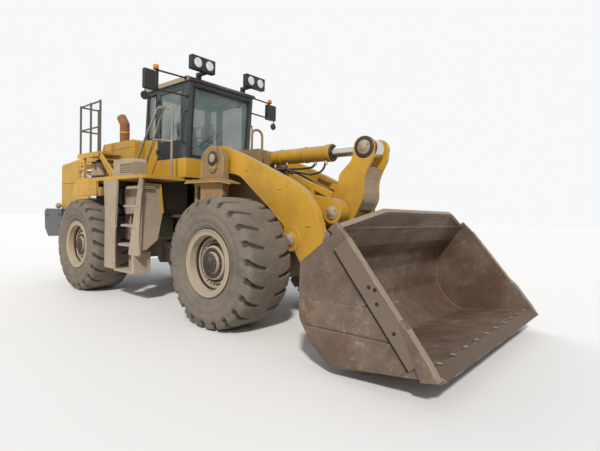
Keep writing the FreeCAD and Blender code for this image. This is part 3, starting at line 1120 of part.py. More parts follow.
def build():
    nodes = {}
    wheels = (("front_left", 0, 1), ("front_right", 0, -1),
              ("rear_left", REAR_AXLE_X, 1), ("rear_right", REAR_AXLE_X, -1))
    blank = tyre_blank()
    for place, x, side in wheels:
        nodes["tyre_" + place] = tyre(blank, x, side)
        nodes["rim_" + place] = rim(x, side)
    nodes["front_axle"] = axle(0)
    nodes["rear_axle"] = axle(REAR_AXLE_X)
    nodes["front_frame"] = front_frame()
    nodes["boom"] = boom()
    nodes["bell_crank"] = bell_crank()
    nodes["bucket_link"] = bucket_link()
    nodes["bucket"] = bucket()
    nodes["cutting_edge"] = cutting_edge()
    nodes["tilt_barrel"], nodes["tilt_rod"] = cylinder_parts(
        TILT_BASE, LEVER_TOP, 0, False, TILT_BARREL_R, TILT_ROD_SHOWN, TILT_HEAD_R, TILT_ROD_R, TILT_PISTON_AT,
        TILT_EYE_R, TILT_EYE_HALF_W, MID_PIN_R, LEVER_GAP_HALF - ROD_PIN_GAP)
    nodes["hoses"] = hoses(nodes["tilt_barrel"])
    for name, side in (("left", 1), ("right", -1)):
        nodes["lift_barrel_" + name], nodes["lift_rod_" + name] = cylinder_parts(
            LIFT_BASE_PIN, LIFT_ROD_PIN, side * LIFT_Y, False, LIFT_BARREL_R, LIFT_ROD_SHOWN, LIFT_BARREL_R + 10,
            LIFT_ROD_R, LIFT_PISTON_AT, LIFT_EYE_R, LIFT_EYE_HALF_W, MID_PIN_R,
            BOOM_OUT_Y - BOOM_T - ROD_PIN_GAP - LIFT_Y)
        base = (HITCH_X + STEER_BASE[0], side * STEER_BASE[1])
        pin = (HITCH_X + STEER_ROD_PIN[0], side * STEER_ROD_PIN[1])
        nodes["steer_barrel_" + name], nodes["steer_rod_" + name] = cylinder_parts(
            base, pin, STEER_Z, True, STEER_BARREL_R, STEER_ROD_SHOWN, STEER_BARREL_R + 8,
            STEER_ROD_R, STEER_PISTON_AT, STEER_EYE_R, STEER_EYE_HALF_H, STEER_PIN_R, STEER_EYE_HALF_H)
        nodes["cab_door_" + name] = door(side)
        nodes["door_glass_" + name] = door_glass(side)
        nodes["engine_door_" + name] = engine_door(side)
    nodes["rear_frame"] = rear_frame()
    nodes["counterweight"] = counterweight()
    nodes["engine_block"] = engine_block()
    nodes["hood"] = hood()
    nodes["lower_panels"] = lower_panels()
    nodes["deck"] = deck()
    nodes["step_boxes"], nodes["air_cleaner"] = step_boxes()
    nodes["side_tanks"] = side_tanks()
    nodes["rear_grille"] = rear_grille()
    nodes["ladders"] = ladders()
    nodes["handrails"] = handrails()
    nodes["guard_rails"] = guard_rails()
    nodes["exhaust_stack"] = exhaust_stack()
    nodes["cab_shell"] = cab_shell()
    nodes["cab_roof"] = cab_roof()
    nodes["cab_glass"] = cab_glass()
    nodes["seat"] = seat()
    nodes["console"] = console()
    nodes["work_lamps"] = work_lamps()
    nodes["mirrors"] = mirrors()
    return nodes


for node_name, node_shape in build().items():
    save(node_name, node_shape)
    print(node_name, "valid" if node_shape.isValid() else "INVALID", len(node_shape.Solids))
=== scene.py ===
import math

import bmesh
import bpy
from mathutils import Matrix, Vector


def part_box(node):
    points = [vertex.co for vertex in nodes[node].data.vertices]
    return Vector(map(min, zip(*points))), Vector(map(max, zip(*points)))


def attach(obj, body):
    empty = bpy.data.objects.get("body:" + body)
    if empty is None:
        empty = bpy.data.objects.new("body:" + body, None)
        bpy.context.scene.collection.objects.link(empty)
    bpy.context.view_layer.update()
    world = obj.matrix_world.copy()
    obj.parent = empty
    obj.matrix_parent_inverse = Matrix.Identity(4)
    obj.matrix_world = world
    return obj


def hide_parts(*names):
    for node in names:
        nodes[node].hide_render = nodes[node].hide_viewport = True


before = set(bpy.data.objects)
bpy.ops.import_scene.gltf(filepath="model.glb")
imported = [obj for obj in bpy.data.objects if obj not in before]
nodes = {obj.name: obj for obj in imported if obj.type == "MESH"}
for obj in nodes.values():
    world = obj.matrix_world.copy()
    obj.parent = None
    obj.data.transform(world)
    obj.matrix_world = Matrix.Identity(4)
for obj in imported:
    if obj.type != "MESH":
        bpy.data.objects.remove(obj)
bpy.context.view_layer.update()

# Places read from the frame, in metres
FRONT_AXLE_X = sum(c.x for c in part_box("rim_front_left")) / 2
REAR_AXLE_X = sum(c.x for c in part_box("rim_rear_left")) / 2
AXLE_Z = sum(c.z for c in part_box("rim_front_left")) / 2
TRACK_HALF = sum(c.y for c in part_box("tyre_front_left")) / 2
TYRE_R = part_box("tyre_front_left")[1].z - AXLE_Z

# Places that the CAD shares, in metres, with X from the front axle. A pin's place is (x, z).
BOOM_HINGE = (-0.84, 2.63)
BUCKET_PIN = (1.66, 0.47)
LEVER_PIN = (1.32, 1.75)
LEVER_TOP = (1.68, 2.71)
LEVER_FOOT = (1.15, 0.83)
LIFT_ROD_PIN = (0.8, 1.345)
LIFT_BASE_PIN = (-1.3, 1.29)
LIFT_Y = 0.52
TILT_Z = LEVER_TOP[1]
TOWER_Y = 0.951          # just outside the tower's plates
DECK_Z = 2.36
DECK_Y = 1.62            # the walkway's outer edge
UPPER_DECK_Z = 2.93
HOOD_Y = 1.0
CAB_Y = 0.8
DOOR_X = (-2.831, -2.009)
SPILL_BASE = (2.215, 1.39)
SPILL_LEAN = 32          # degrees

# Camera: solved from the photograph, as a place from the front axle, angles in degrees and a lens in mm
CAMERA_FROM_AXLE = (4.994, -5.534, 1.714)
CAMERA_YAW = 40.29
CAMERA_PITCH = -1.49
CAMERA_ROLL = 1.32
CAMERA_LENS = 25.57

# Colours, as linear values
YELLOW = (0.6, 0.325, 0.022)
YELLOW_DARK = (0.42, 0.22, 0.035)
BEIGE = (0.4, 0.31, 0.21)
DUST = (0.42, 0.345, 0.26)
TYRE_RUBBER = (0.045, 0.042, 0.038)
GREY_PAINT = (0.055, 0.064, 0.066)
BUCKET_BROWN = (0.125, 0.083, 0.058)
BUCKET_PALE = (0.2, 0.15, 0.11)
RUST = (0.3, 0.12, 0.045)
BARE_STEEL = (0.42, 0.38, 0.33)
CAB_GREY = (0.04, 0.044, 0.046)
TYRE_DUST = (0.195, 0.16, 0.122)
PALE_EDGE = (0.56, 0.44, 0.28)
BLACK = (0.012, 0.012, 0.013)


# Materials

def new_material(name):
    material = bpy.data.materials.new(name)
    material.use_nodes = True
    tree = material.node_tree
    return material, tree, tree.nodes["Principled BSDF"]


def add(tree, kind, **values):
    node = tree.nodes.new(kind)
    for key, value in values.items():
        if key.startswith("in_"):
            node.inputs[key[3:].replace("_", " ")].default_value = value
        else:
            setattr(node, key, value)
    return node


def noise(tree, scale, detail=6.0, roughness=0.6, stretch=(1, 1, 1)):
    """Noise in metres of the row frame; returns its value socket."""
    place = add(tree, "ShaderNodeTexCoord")
    mapping = add(tree, "ShaderNodeMapping", in_Scale=stretch)
    tree.links.new(place.outputs["Object"], mapping.inputs["Vector"])
    texture = add(tree, "ShaderNodeTexNoise", in_Scale=scale, in_Detail=detail, in_Roughness=roughness)
    tree.links.new(mapping.outputs["Vector"], texture.inputs["Vector"])
    return texture.outputs["Fac"]


def ramp(tree, source, low, high, at_low=0.0, at_high=1.0):
    """Smooth step of a value from low to high."""
    node = add(tree, "ShaderNodeMapRange", interpolation_type="SMOOTHSTEP", in_From_Min=low,
               in_From_Max=high, in_To_Min=at_low, in_To_Max=at_high)
    tree.links.new(source, node.inputs["Value"])
    return node.outputs["Result"]


def math_node(tree, operation, a, b):
    node = add(tree, "ShaderNodeMath", operation=operation, use_clamp=True)
    for socket, value in zip(node.inputs, (a, b)):
        if isinstance(value, (int, float)):
            socket.default_value = value
        else:
            tree.links.new(value, socket)
    return node.outputs[0]


def times(tree, a, b):
    return math_node(tree, "MULTIPLY", a, b)


def plus(tree, a, b):
    return math_node(tree, "ADD", a, b)


def blend_colour(tree, amount, under, over):
    node = add(tree, "ShaderNodeMix", data_type="RGBA")
    tree.links.new(amount, node.inputs["Factor"])
    for socket, value in ((node.inputs[6], under), (node.inputs[7], over)):
        if isinstance(value, tuple):
            socket.default_value = (*value, 1)
        else:
            tree.links.new(value, socket)
    return node.outputs[2]


def z_part(tree, kind, output):
    """Z of a node's output: of the surface's Normal, or of the place in the Object's frame."""
    split = add(tree, "ShaderNodeSeparateXYZ")
    tree.links.new(add(tree, kind).outputs[output], split.inputs[0])
    return split.outputs["Z"]


def edge_mask(tree, radius):
    """1 along outside edges within a radius, 0 elsewhere."""
    bevel = add(tree, "ShaderNodeBevel", samples=4, in_Radius=radius)
    geometry = add(tree, "ShaderNodeNewGeometry")
    product = add(tree, "ShaderNodeVectorMath", operation="DOT_PRODUCT")
    tree.links.new(bevel.outputs[0], product.inputs[0])
    tree.links.new(geometry.outputs["Normal"], product.inputs[1])
    return ramp(tree, product.outputs["Value"], 0.985, 0.86, 0.0, 1.0), bevel.outputs[0]


def surface_bump(tree, shader, fine, coarse, strength, distance, normal=None):
    mixed = plus(tree, times(tree, fine, 0.35), times(tree, coarse, 0.65))
    bump = add(tree, "ShaderNodeBump", in_Strength=strength, in_Distance=distance)
    tree.links.new(mixed, bump.inputs["Height"])
    if normal:
        tree.links.new(normal, bump.inputs["Normal"])
    tree.links.new(bump.outputs[0], shader.inputs["Normal"])


def coat(tree, shader, colour, roughness, metallic=0.0):
    """Joins a colour and a roughness to the shader; the roughness is a socket or a number."""
    tree.links.new(colour, shader.inputs["Base Color"])
    if isinstance(roughness, float):
        shader.inputs["Roughness"].default_value = roughness
    else:
        tree.links.new(roughness, shader.inputs["Roughness"])
    shader.inputs["Metallic"].default_value = metallic


def weathered(name, base, dust_level, low_dirt, wear, dust=DUST, worn=BARE_STEEL, roughness=0.45,
              metallic=0.0, bump=0.15, edge=0.006, variation=0.25):
    """Paint or steel with dust on upward faces, dirt low down, colour variation and worn edges."""
    material, tree, shader = new_material(name)
    broad = noise(tree, 0.9, 8, 0.62)
    middle = noise(tree, 5.0, 9, 0.68)
    fine = noise(tree, 60.0, 6, 0.7)
    streaks = noise(tree, 6.0, 6, 0.6, (1, 1, 0.12))
    shade = tuple(c * (1 - variation) for c in base)
    colour = blend_colour(tree, ramp(tree, broad, 0.35, 0.65), base, shade)
    on_top = ramp(tree, z_part(tree, "ShaderNodeNewGeometry", "Normal"), 0.1, 0.9, 0.0, 0.55)
    patches = plus(tree, on_top, times(tree, middle, 0.75))
    patches = plus(tree, patches, times(tree, streaks, 0.2))
    dusty = ramp(tree, patches, 1.02 - dust_level, 1.32 - dust_level * 0.8, 0.0, 0.92)
    colour = blend_colour(tree, dusty, colour, dust)
    near_ground = ramp(tree, z_part(tree, "ShaderNodeTexCoord", "Object"), 2.4, 0.3, 0.0, low_dirt)
    dirty = times(tree, near_ground, ramp(tree, broad, 0.3, 0.6, 0.45, 1.0))
    colour = blend_colour(tree, dirty, colour, dust)
    edges, rounded = edge_mask(tree, edge)
    chips = times(tree, edges, ramp(tree, middle, 0.42, 0.6, 0.0, wear))
    colour = blend_colour(tree, chips, colour, worn)
    rough = plus(tree, times(tree, dusty, 0.4), roughness)
    rough = plus(tree, rough, times(tree, dirty, 0.25))
    coat(tree, shader, colour, rough, metallic)
    surface_bump(tree, shader, fine, middle, bump, 0.004, rounded)
    return material


def rubber(name):
    """Tyre rubber under pale dust, with painted shade darkening the tread's cuts."""
    material, tree, shader = new_material(name)
    broad = noise(tree, 1.6, 8, 0.6)
    middle = noise(tree, 9.0, 9, 0.7)
    fine = noise(tree, 90.0, 6, 0.7)
    patches = plus(tree, times(tree, broad, 0.5), times(tree, middle, 0.5))
    dusty = ramp(tree, patches, 0.28, 0.62, 0.4, 0.95)
    colour = blend_colour(tree, dusty, TYRE_RUBBER, TYRE_DUST)
    # Painted shade: the groove attribute darkens the rubber in the tread's cuts.
    groove = add(tree, "ShaderNodeAttribute", attribute_name="groove")
    painted_cut_shade = ramp(tree, groove.outputs["Fac"], 0.05, 0.8, 0.0, 0.85)
    coat(tree, shader, blend_colour(tree, painted_cut_shade, colour, TYRE_RUBBER), 0.9)
    surface_bump(tree, shader, fine, middle, 0.5, 0.008)
    return material


def bucket_metal(name):
    """Worn, scratched and rusty steel with scrape marks and pale grey dust."""
    material, tree, shader = new_material(name)
    broad = noise(tree, 1.1, 8, 0.65)
    middle = noise(tree, 4.5, 10, 0.7)
    fine = noise(tree, 70.0, 6, 0.7)
    scratches = noise(tree, 14.0, 8, 0.75, (1, 0.06, 1))
    colour = blend_colour(tree, ramp(tree, broad, 0.4, 0.62), BUCKET_BROWN, BUCKET_PALE)
    rusty = ramp(tree, middle, 0.5, 0.68, 0.0, 0.7)
    colour = blend_colour(tree, rusty, colour, (0.17, 0.075, 0.038))
    scraped = times(tree, ramp(tree, scratches, 0.53, 0.66, 0.0, 0.75), ramp(tree, broad, 0.42, 0.58))
    colour = blend_colour(tree, scraped, colour, (0.34, 0.28, 0.225))
    edges, rounded = edge_mask(tree, 0.012)
    colour = blend_colour(tree, times(tree, edges, 0.7), colour, (0.42, 0.33, 0.25))
    coat(tree, shader, colour, ramp(tree, middle, 0.3, 0.7, 0.42, 0.75), 0.35)
    surface_bump(tree, shader, fine, middle, 0.35, 0.008, rounded)
    return material


def smudged(name, clean, marked, scale, spread, gloss, metallic=0.0, stretch=(1, 1, 1)):
    """Glass or chrome between two colours: where the smudges start and end, and the roughness of both."""
    material, tree, shader = new_material(name)
    smudge = noise(tree, scale, 6, 0.6, stretch)
    colour = blend_colour(tree, ramp(tree, smudge, *spread), clean, marked)
    coat(tree, shader, colour, ramp(tree, smudge, 0.3, 0.8, *gloss), metallic)
    return material


def window_glass(name):
    material = smudged(name, (0.16, 0.24, 0.23), (0.3, 0.31, 0.27), 3.0, (0.4, 0.7), (0.05, 0.3))
    shader = material.node_tree.nodes["Principled BSDF"]
    shader.inputs["Alpha"].default_value = 0.42
    shader.inputs["Specular IOR Level"].default_value = 0.7
    return material


def lens(name, tint):
    return smudged(name, tint, tuple(c * 0.7 for c in tint), 18.0, (0.35, 0.7), (0.12, 0.4))


# Each look by its short name. A weathered one has a paint, then its dust, dirt low down and wear.
MATERIALS = {
    "yellow": weathered("loader_yellow", YELLOW, 0.3, 0.3, 0.75, dust=(0.36, 0.27, 0.16), worn=PALE_EDGE,
                        edge=0.011, variation=0.32),
    "frame_yellow": weathered("frame_yellow", YELLOW_DARK, 0.78, 0.8, 0.5, dust=(0.2, 0.16, 0.12),
                              worn=PALE_EDGE, roughness=0.6, bump=0.25),
    "beige": weathered("dusty_yellow", YELLOW, 0.62, 0.8, 0.3, roughness=0.6),
    "dusty": weathered("dusty_steel", BEIGE, 0.6, 0.6, 0.4, worn=(0.3, 0.2, 0.12), roughness=0.75, bump=0.3),
    "grey": weathered("chassis_grey", GREY_PAINT, 0.38, 0.45, 0.3, dust=(0.17, 0.16, 0.14)),
    # Parts under the machine, in a near-black brown.
    "under": weathered("dark_underside", (0.07, 0.06, 0.05), 0.45, 0.55, 0.1, roughness=0.8),
    "cab": weathered("cab_dark", CAB_GREY, 0.28, 0.1, 0.2),
    "rail": weathered("rail_paint", (0.3, 0.25, 0.19), 0.3, 0.1, 0.8, worn=(0.05, 0.045, 0.04)),
    "dark_rail": weathered("dark_rail_paint", (0.1, 0.085, 0.068), 0.22, 0.0, 0.6, worn=(0.3, 0.25, 0.19)),
    "rust": weathered("rusty_stack", RUST, 0.4, 0.0, 0.0, dust=(0.22, 0.13, 0.08), roughness=0.85, bump=0.4),
    "plastic": weathered("dark_plastic", BLACK, 0.25, 0.1, 0.2, worn=(0.1, 0.1, 0.1), roughness=0.5,
                         bump=0.1),
    "fabric": weathered("seat_cloth", (0.03, 0.03, 0.033), 0.1, 0.0, 0.0, roughness=0.9, bump=0.5, edge=0.02),
    "rubber": rubber("tyre_rubber"),
    "bucket": bucket_metal("bucket_steel"),
    "edge": weathered("edge_steel", (0.19, 0.15, 0.115), 0.4, 0.0, 0.9, dust=(0.14, 0.1, 0.07),
                      worn=(0.55, 0.5, 0.45), metallic=0.6, roughness=0.4, edge=0.015),
    "glass": window_glass("cab_glass_tint"),
    "chrome": smudged("rod_chrome", (0.62, 0.6, 0.57), (0.45, 0.4, 0.33), 30.0, (0.5, 0.8), (0.12, 0.4),
                      metallic=1.0, stretch=(0.2, 1, 1)),
    "rim": weathered("rim_paint", (0.46, 0.36, 0.23), 0.45, 0.2, 0.4, dust=(0.4, 0.33, 0.25),
                     worn=(0.2, 0.13, 0.08), roughness=0.6),
    "hose": weathered("hose_rubber", (0.03, 0.028, 0.026), 0.45, 0.4, 0.2, dust=(0.16, 0.13, 0.1),
                      worn=(0.09, 0.08, 0.07), roughness=0.7, bump=0.1),
    # Near black for seals, seams and the grille mesh; also painted shade in holes, behind the bucket's cutter
    # strips and on the rims.
    "dark": weathered("dark_seal_and_painted_shade", (0.016, 0.015, 0.014), 0.3, 0.2, 0.1, dust=(0.05, 0.04, 0.03),
                      worn=(0.03, 0.03, 0.03), roughness=0.9, bump=0.05),
    "bucket_edge": weathered("bucket_edge_steel", (0.15, 0.105, 0.072), 0.5, 0.2, 0.9,
                             dust=(0.27, 0.21, 0.15), worn=(0.6, 0.5, 0.4), roughness=0.5, bump=0.35,
                             edge=0.01),
    # Dark grease colour; on the hub cap it also serves as painted shade.
    "grease": weathered("grease_and_painted_shade", (0.035, 0.026, 0.019), 0.5, 0.1, 0.6, dust=(0.13, 0.098, 0.068),
                        worn=(0.2, 0.15, 0.1), roughness=0.55, bump=0.4),
    "roof": weathered("cab_roof_dust", (0.06, 0.058, 0.054), 0.42, 0.0, 0.3, dust=(0.2, 0.165, 0.125)),
    "cab_yellow": weathered("cab_yellow", YELLOW, 0.36, 0.2, 0.3),
    "lens": lens("lamp_glass", (0.75, 0.76, 0.74)),
    "orange_lens": lens("beacon_orange", (0.75, 0.2, 0.02)),
    "red_lens": lens("tail_red", (0.45, 0.03, 0.02)),
}

NODES_BY_LOOK = {
    "yellow": "boom bell_crank bucket_link tilt_barrel",
    "frame_yellow": "front_frame lift_barrel_left lift_barrel_right",
    "under": "rear_frame front_axle rear_axle engine_block side_tanks steer_barrel_left steer_barrel_right",
    "chrome": "tilt_rod lift_rod_left lift_rod_right steer_rod_left steer_rod_right",
    "bucket": "bucket",
    "edge": "cutting_edge",
    "grey": "counterweight rear_grille",
    "beige": "hood lower_panels engine_door_left engine_door_right deck",
    "dusty": "ladders step_boxes air_cleaner rim_front_left rim_front_right rim_rear_left rim_rear_right",
    "rubber": "tyre_front_left tyre_front_right tyre_rear_left tyre_rear_right",
    "rust": "exhaust_stack",
    "rail": "guard_rails",
    "dark_rail": "handrails",
    "cab": "cab_shell cab_door_left cab_door_right",
    "roof": "cab_roof",
    "glass": "cab_glass door_glass_left door_glass_right",
    "fabric": "seat",
    "plastic": "console work_lamps mirrors",
    "hose": "hoses",
}


def dress_nodes():
    for look, names in NODES_BY_LOOK.items():
        for name in names.split():
            slots = nodes[name].data.materials
            slots.clear()
            slots.append(MATERIALS[look])


# Mesh building

def lay(axis, u, v, w):
    return {"x": (w, u, v), "y": (u, w, v), "z": (u, v, w)}[axis]


def unlay(axis, point):
    x, y, z = point
    return {"x": (y, z, x), "y": (x, z, y), "z": (x, y, z)}[axis]


def wall(rows, sides, closed=False):
    """Faces between rings of points that follow each other; the last joins the first if closed."""
    faces = []
    for k in range(rows if closed else rows - 1):
        after = (k + 1) % rows
        for i in range(sides):
            j = (i + 1) % sides
            faces.append((k * sides + i, k * sides + j, after * sides + j, after * sides + i))
    return faces


def place_object(name, data):
    item = bpy.data.objects.new(name, data)
    bpy.context.scene.collection.objects.link(item)
    return item


class Shape:
    """Gathers vertices and faces of one piece, in metres, X from the front axle."""

    def __init__(self):
        self.verts = []
        self.faces = []
        self.smooth = []

    def put(self, verts, faces, smooth=False, caps=()):
        start = len(self.verts)
        self.verts += [(x + FRONT_AXLE_X, y, z) for x, y, z in verts]
        self.faces += [[i + start for i in face] for face in (*faces, *caps)]
        self.smooth += [smooth] * len(faces) + [False] * len(caps)

    def prism(self, outline, axis, low, high):
        """Outline across an axis ("x": y, z; "y": x, z; "z": x, y), from low to high along it."""
        count = len(outline)
        verts = [lay(axis, u, v, at) for at in (low, high) for u, v in outline]
        sides = [(i, (i + 1) % count, (i + 1) % count + count, i + count) for i in range(count)]
        self.put(verts, [tuple(range(count)), tuple(range(2 * count - 1, count - 1, -1))] + sides)

    def box(self, x0, x1, y0, y1, z0, z1):
        self.prism([(x0, z0), (x1, z0), (x1, z1), (x0, z1)], "y", y0, y1)

    def bar(self, x, y0, y1, z, width=0.022, rise=0.005, lean=0.006):
        """Low bar of a tread plate along Y, narrower at its top."""
        self.prism([(x, z), (x + width, z), (x + width - lean, z + rise), (x + lean, z + rise)], "y", y0, y1)

    def ring(self, centre, axis, profile, sides=24, smooth=True, out=1, closed=False):
        """Profile of (radius, offset along the axis) turned about it: capped, or joined up if closed."""
        cu, cv, cw = unlay(axis, centre)
        verts = []
        for r, offset in profile:
            for i in range(sides):
                a = 2 * math.pi * i / sides
                verts.append(lay(axis, cu + r * math.cos(a), cv + r * math.sin(a), cw + out * offset))
        last = (len(profile) - 1) * sides
        caps = []
        if not closed and profile[0][0] > 0.0001:
            caps.append(tuple(range(sides - 1, -1, -1)))
        if not closed and profile[-1][0] > 0.0001:
            caps.append(tuple(range(last, last + sides)))
        self.put(verts, wall(len(profile), sides, closed), smooth, caps)

    def band(self, centre, axis, profile, sides=32, out=1):
        """Ring of a closed section."""
        self.ring(centre, axis, profile, sides, out=out, closed=True)

    def bolt(self, centre, r, h, axis="y", out=1):
        """Washer and hexagon head; out is +1 or -1 along the axis."""
        self.ring(centre, axis, [(r * 1.35, 0), (r * 1.35, h * 0.25)], 12, False, out)
        self.ring(centre, axis, [(r, h * 0.25), (r, h * 0.85), (r * 0.75, h)], 6, False, out)

    def bolts(self, centres, r, h, axis="y", out=1):
        for centre in centres:
            self.bolt(centre, r, h, axis, out)

    def bolt_row(self, start, end, count, r, h, axis="y", out=1):
        self.bolts(along(start, end, count), r, h, axis, out)

    def pipe(self, points, r, sides=10):
        """Round line through points, with mitred joints."""
        points = [Vector(p) for p in points]
        verts = []
        up = Vector((0, 0, 1))
        for i, here in enumerate(points):
            ahead = (points[min(i + 1, len(points) - 1)] - points[max(i - 1, 0)]).normalized()
            side = ahead.cross(up)
            if side.length < 0.05:
                side = ahead.cross(Vector((0, 1, 0)))
            side.normalize()
            over = side.cross(ahead)
            for k in range(sides):
                a = 2 * math.pi * k / sides
                verts.append(tuple(here + r * (math.cos(a) * side + math.sin(a) * over)))
        last = (len(points) - 1) * sides
        ends = [tuple(range(sides)), tuple(range(last + sides - 1, last - 1, -1))]
        self.put(verts, wall(len(points), sides) + ends, True)

    def bent_pipe(self, points, r, sides=8, steps=8):
        """Round line along a smooth curve through the points."""
        self.pipe(smooth_line(points, steps), r, sides)

    def both(self):
        """Adds the same shape on the other side of the machine."""
        start = len(self.verts)
        self.verts += [(x, -y, z) for x, y, z in self.verts]
        self.faces += [[i + start for i in reversed(face)] for face in self.faces]
        self.smooth += self.smooth
        return self

    def finish(self, name, material, body="rear_body", bevel=0.0):
        mesh = bpy.data.meshes.new(name)
        mesh.from_pydata(self.verts, [], self.faces)
        mesh.polygons.foreach_set("use_smooth", self.smooth)
        bm = bmesh.new()
        bm.from_mesh(mesh)
        bmesh.ops.recalc_face_normals(bm, faces=bm.faces)
        if bevel:
            sharp = [e for e in bm.edges if len(e.link_faces) == 2 and e.calc_face_angle(0) > 0.5]
            bmesh.ops.bevel(bm, geom=sharp, offset=bevel, segments=1, affect="EDGES", clamp_overlap=True)
        bm.to_mesh(mesh)
        bm.free()
        mesh.materials.append(MATERIALS[material])
        piece = place_object(name, mesh)
        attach(piece, body)
        return piece

    def pair(self, name, material, body="rear_body", bevel=0.0):
        """Finishes the shape and its mirror image as one piece."""
        self.both().finish(name, material, body, bevel)


def smooth_line(points, steps=8):
    """Points along a curve that passes through the given ones."""
    points = [Vector(p) for p in points]
    line = []
    for i in range(len(points) - 1):
        before = points[max(i - 1, 0)]
        start, end = points[i], points[i + 1]
        after = points[min(i + 2, len(points) - 1)]
        for k in range(steps):
            t = k / steps
            line.append(0.5 * (2 * start + (end - before) * t
                               + (2 * before - 5 * start + 4 * end - after) * t ** 2
                               + (3 * start - before - 3 * end + after) * t ** 3))
    return line + [points[-1]]


def along(start, end, count):
    """Evenly spaced points from start to end."""
    a, b = Vector(start), Vector(end)
    return [tuple(a + (b - a) * i / (count - 1)) for i in range(count)]


def circle(centre, axis, radius, count, offset, start=0.0):
    """Points round a circle, evenly spaced from an angle in radians."""
    cu, cv, cw = unlay(axis, centre)
    turns = [start + 2 * math.pi * i / count for i in range(count)]
    return [lay(axis, cu + radius * math.cos(a), cv + radius * math.sin(a), cw + offset) for a in turns]


# Wheels

# Half of a tyre's section as (distance from the middle of the tread, radius)
TYRE_PROFILE = [(0.0, 0.975), (0.1, 0.975), (0.222, 0.972), (0.3, 0.965), (0.352, 0.955), (0.385, 0.938),
                (0.404, 0.912), (0.416, 0.88), (0.4165, 0.866), (0.427, 0.858), (0.438, 0.8), (0.444, 0.735),
                (0.4385, 0.728), (0.4385, 0.715), (0.443, 0.705), (0.439, 0.655), (0.432, 0.61),
                (0.424, 0.603), (0.421, 0.59), (0.424, 0.578), (0.41, 0.548), (0.385, 0.52),
                (0.362, 0.5), (0.356, 0.493), (0.356, 0.43)]
TREAD_STEP = 0.0125      # between points of the section where the tread is cut
WALL_STEP = 0.05
TREAD_FOOT_R = 0.85
LUG_COUNT = 22
LUG_SEGMENTS = 20

SIDES = ((1, "left"), (-1, "right"))
WHEELS = (("front_left", 0.0, 1), ("front_right", 0.0, -1), ("rear_left", REAR_AXLE_X - FRONT_AXLE_X, 1),
          ("rear_right", REAR_AXLE_X - FRONT_AXLE_X, -1))


def tyre_half_line():
    """Points along half of the tyre's section, closer together where the tread is cut."""
    line = []
    for (w0, r0), (w1, r1) in zip(TYRE_PROFILE, TYRE_PROFILE[1:]):
        length = math.hypot(w1 - w0, r1 - r0)
        step = TREAD_STEP if r1 > TREAD_FOOT_R else WALL_STEP
        count = max(1, round(length / step))
        line += [(w0 + (w1 - w0) * i / count, r0 + (r1 - r0) * i / count) for i in range(count)]
    return line + [TYRE_PROFILE[-1]]


def ease(value, low, high):
    t = min(max((value - low) / (high - low), 0.0), 1.0)
    return t * t * (3 - 2 * t)


def groove_depth(w, r, turn, side):
    """How deep the tread is cut at a point; turn is in pitches round the tyre."""
    reach = ease(w, 0.1, 0.16)
    if reach == 0 or r < 0.845:
        return 0.0
    bend = 0.32 * ((w - 0.12) / 0.28) ** 2
    phase = (turn + bend + (0.5 if side > 0 else 0.0)) % 1.0
    off = abs(phase - 0.5) * 2 * math.pi * TYRE_R / LUG_COUNT
    half = 0.014 + 0.012 * ease(w, 0.15, 0.36) + 0.016 * ease(0.96 - r, 0.01, 0.06)
    cut = 1 - ease(off, half, half + 0.011)
    depth = 0.028 + 0.022 * ease(w, 0.2, 0.36)
    return cut * reach * depth * ease(r, 0.848, 0.875)


def tyre_piece(place):
    name = "tyre_" + place
    lo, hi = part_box(name)
    centre = (Vector(lo) + Vector(hi)) / 2
    half = tyre_half_line()
    section = [(-w, r, -1) for w, r in reversed(half)] + [(w, r, 1) for w, r in half[1:]]
    normals = []
    for i in range(len(section)):
        before, after = section[max(i - 1, 0)], section[min(i + 1, len(section) - 1)]
        across = Vector((after[0] - before[0], after[1] - before[1])).normalized()
        normals.append((-across.y, across.x))
    turns = LUG_COUNT * LUG_SEGMENTS
    verts = []
    groove_shade = []
    for k in range(turns):
        a = 2 * math.pi * k / turns
        for (w, r, side), (nw, nr) in zip(section, normals):
            cut = groove_depth(abs(w), r, k / LUG_SEGMENTS, side)
            ww, rr = w - nw * cut, r - nr * cut
            # How deep each point is cut, kept as the groove attribute that paints shade into the cuts.
            groove_shade.append(min(cut / 0.03, 1.0))
            verts.append((centre.x + rr * math.sin(a), centre.y + ww, centre.z + rr * math.cos(a)))
    count = len(section)
    faces = []
    for k in range(turns):
        j = (k + 1) % turns
        faces += [(k * count + i, j * count + i, j * count + i + 1, k * count + i + 1)
                  for i in range(count - 1)]
    mesh = bpy.data.meshes.new(name + "_tread")
    mesh.from_pydata(verts, [], faces)
    mesh.polygons.foreach_set("use_smooth", [True] * len(faces))
    mesh.attributes.new("groove", "FLOAT", "POINT").data.foreach_set("value", groove_shade)
    mesh.materials.append(MATERIALS["rubber"])
    piece = place_object(name + "_tread", mesh)
    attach(piece, "wheel_" + place)
    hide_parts(name)


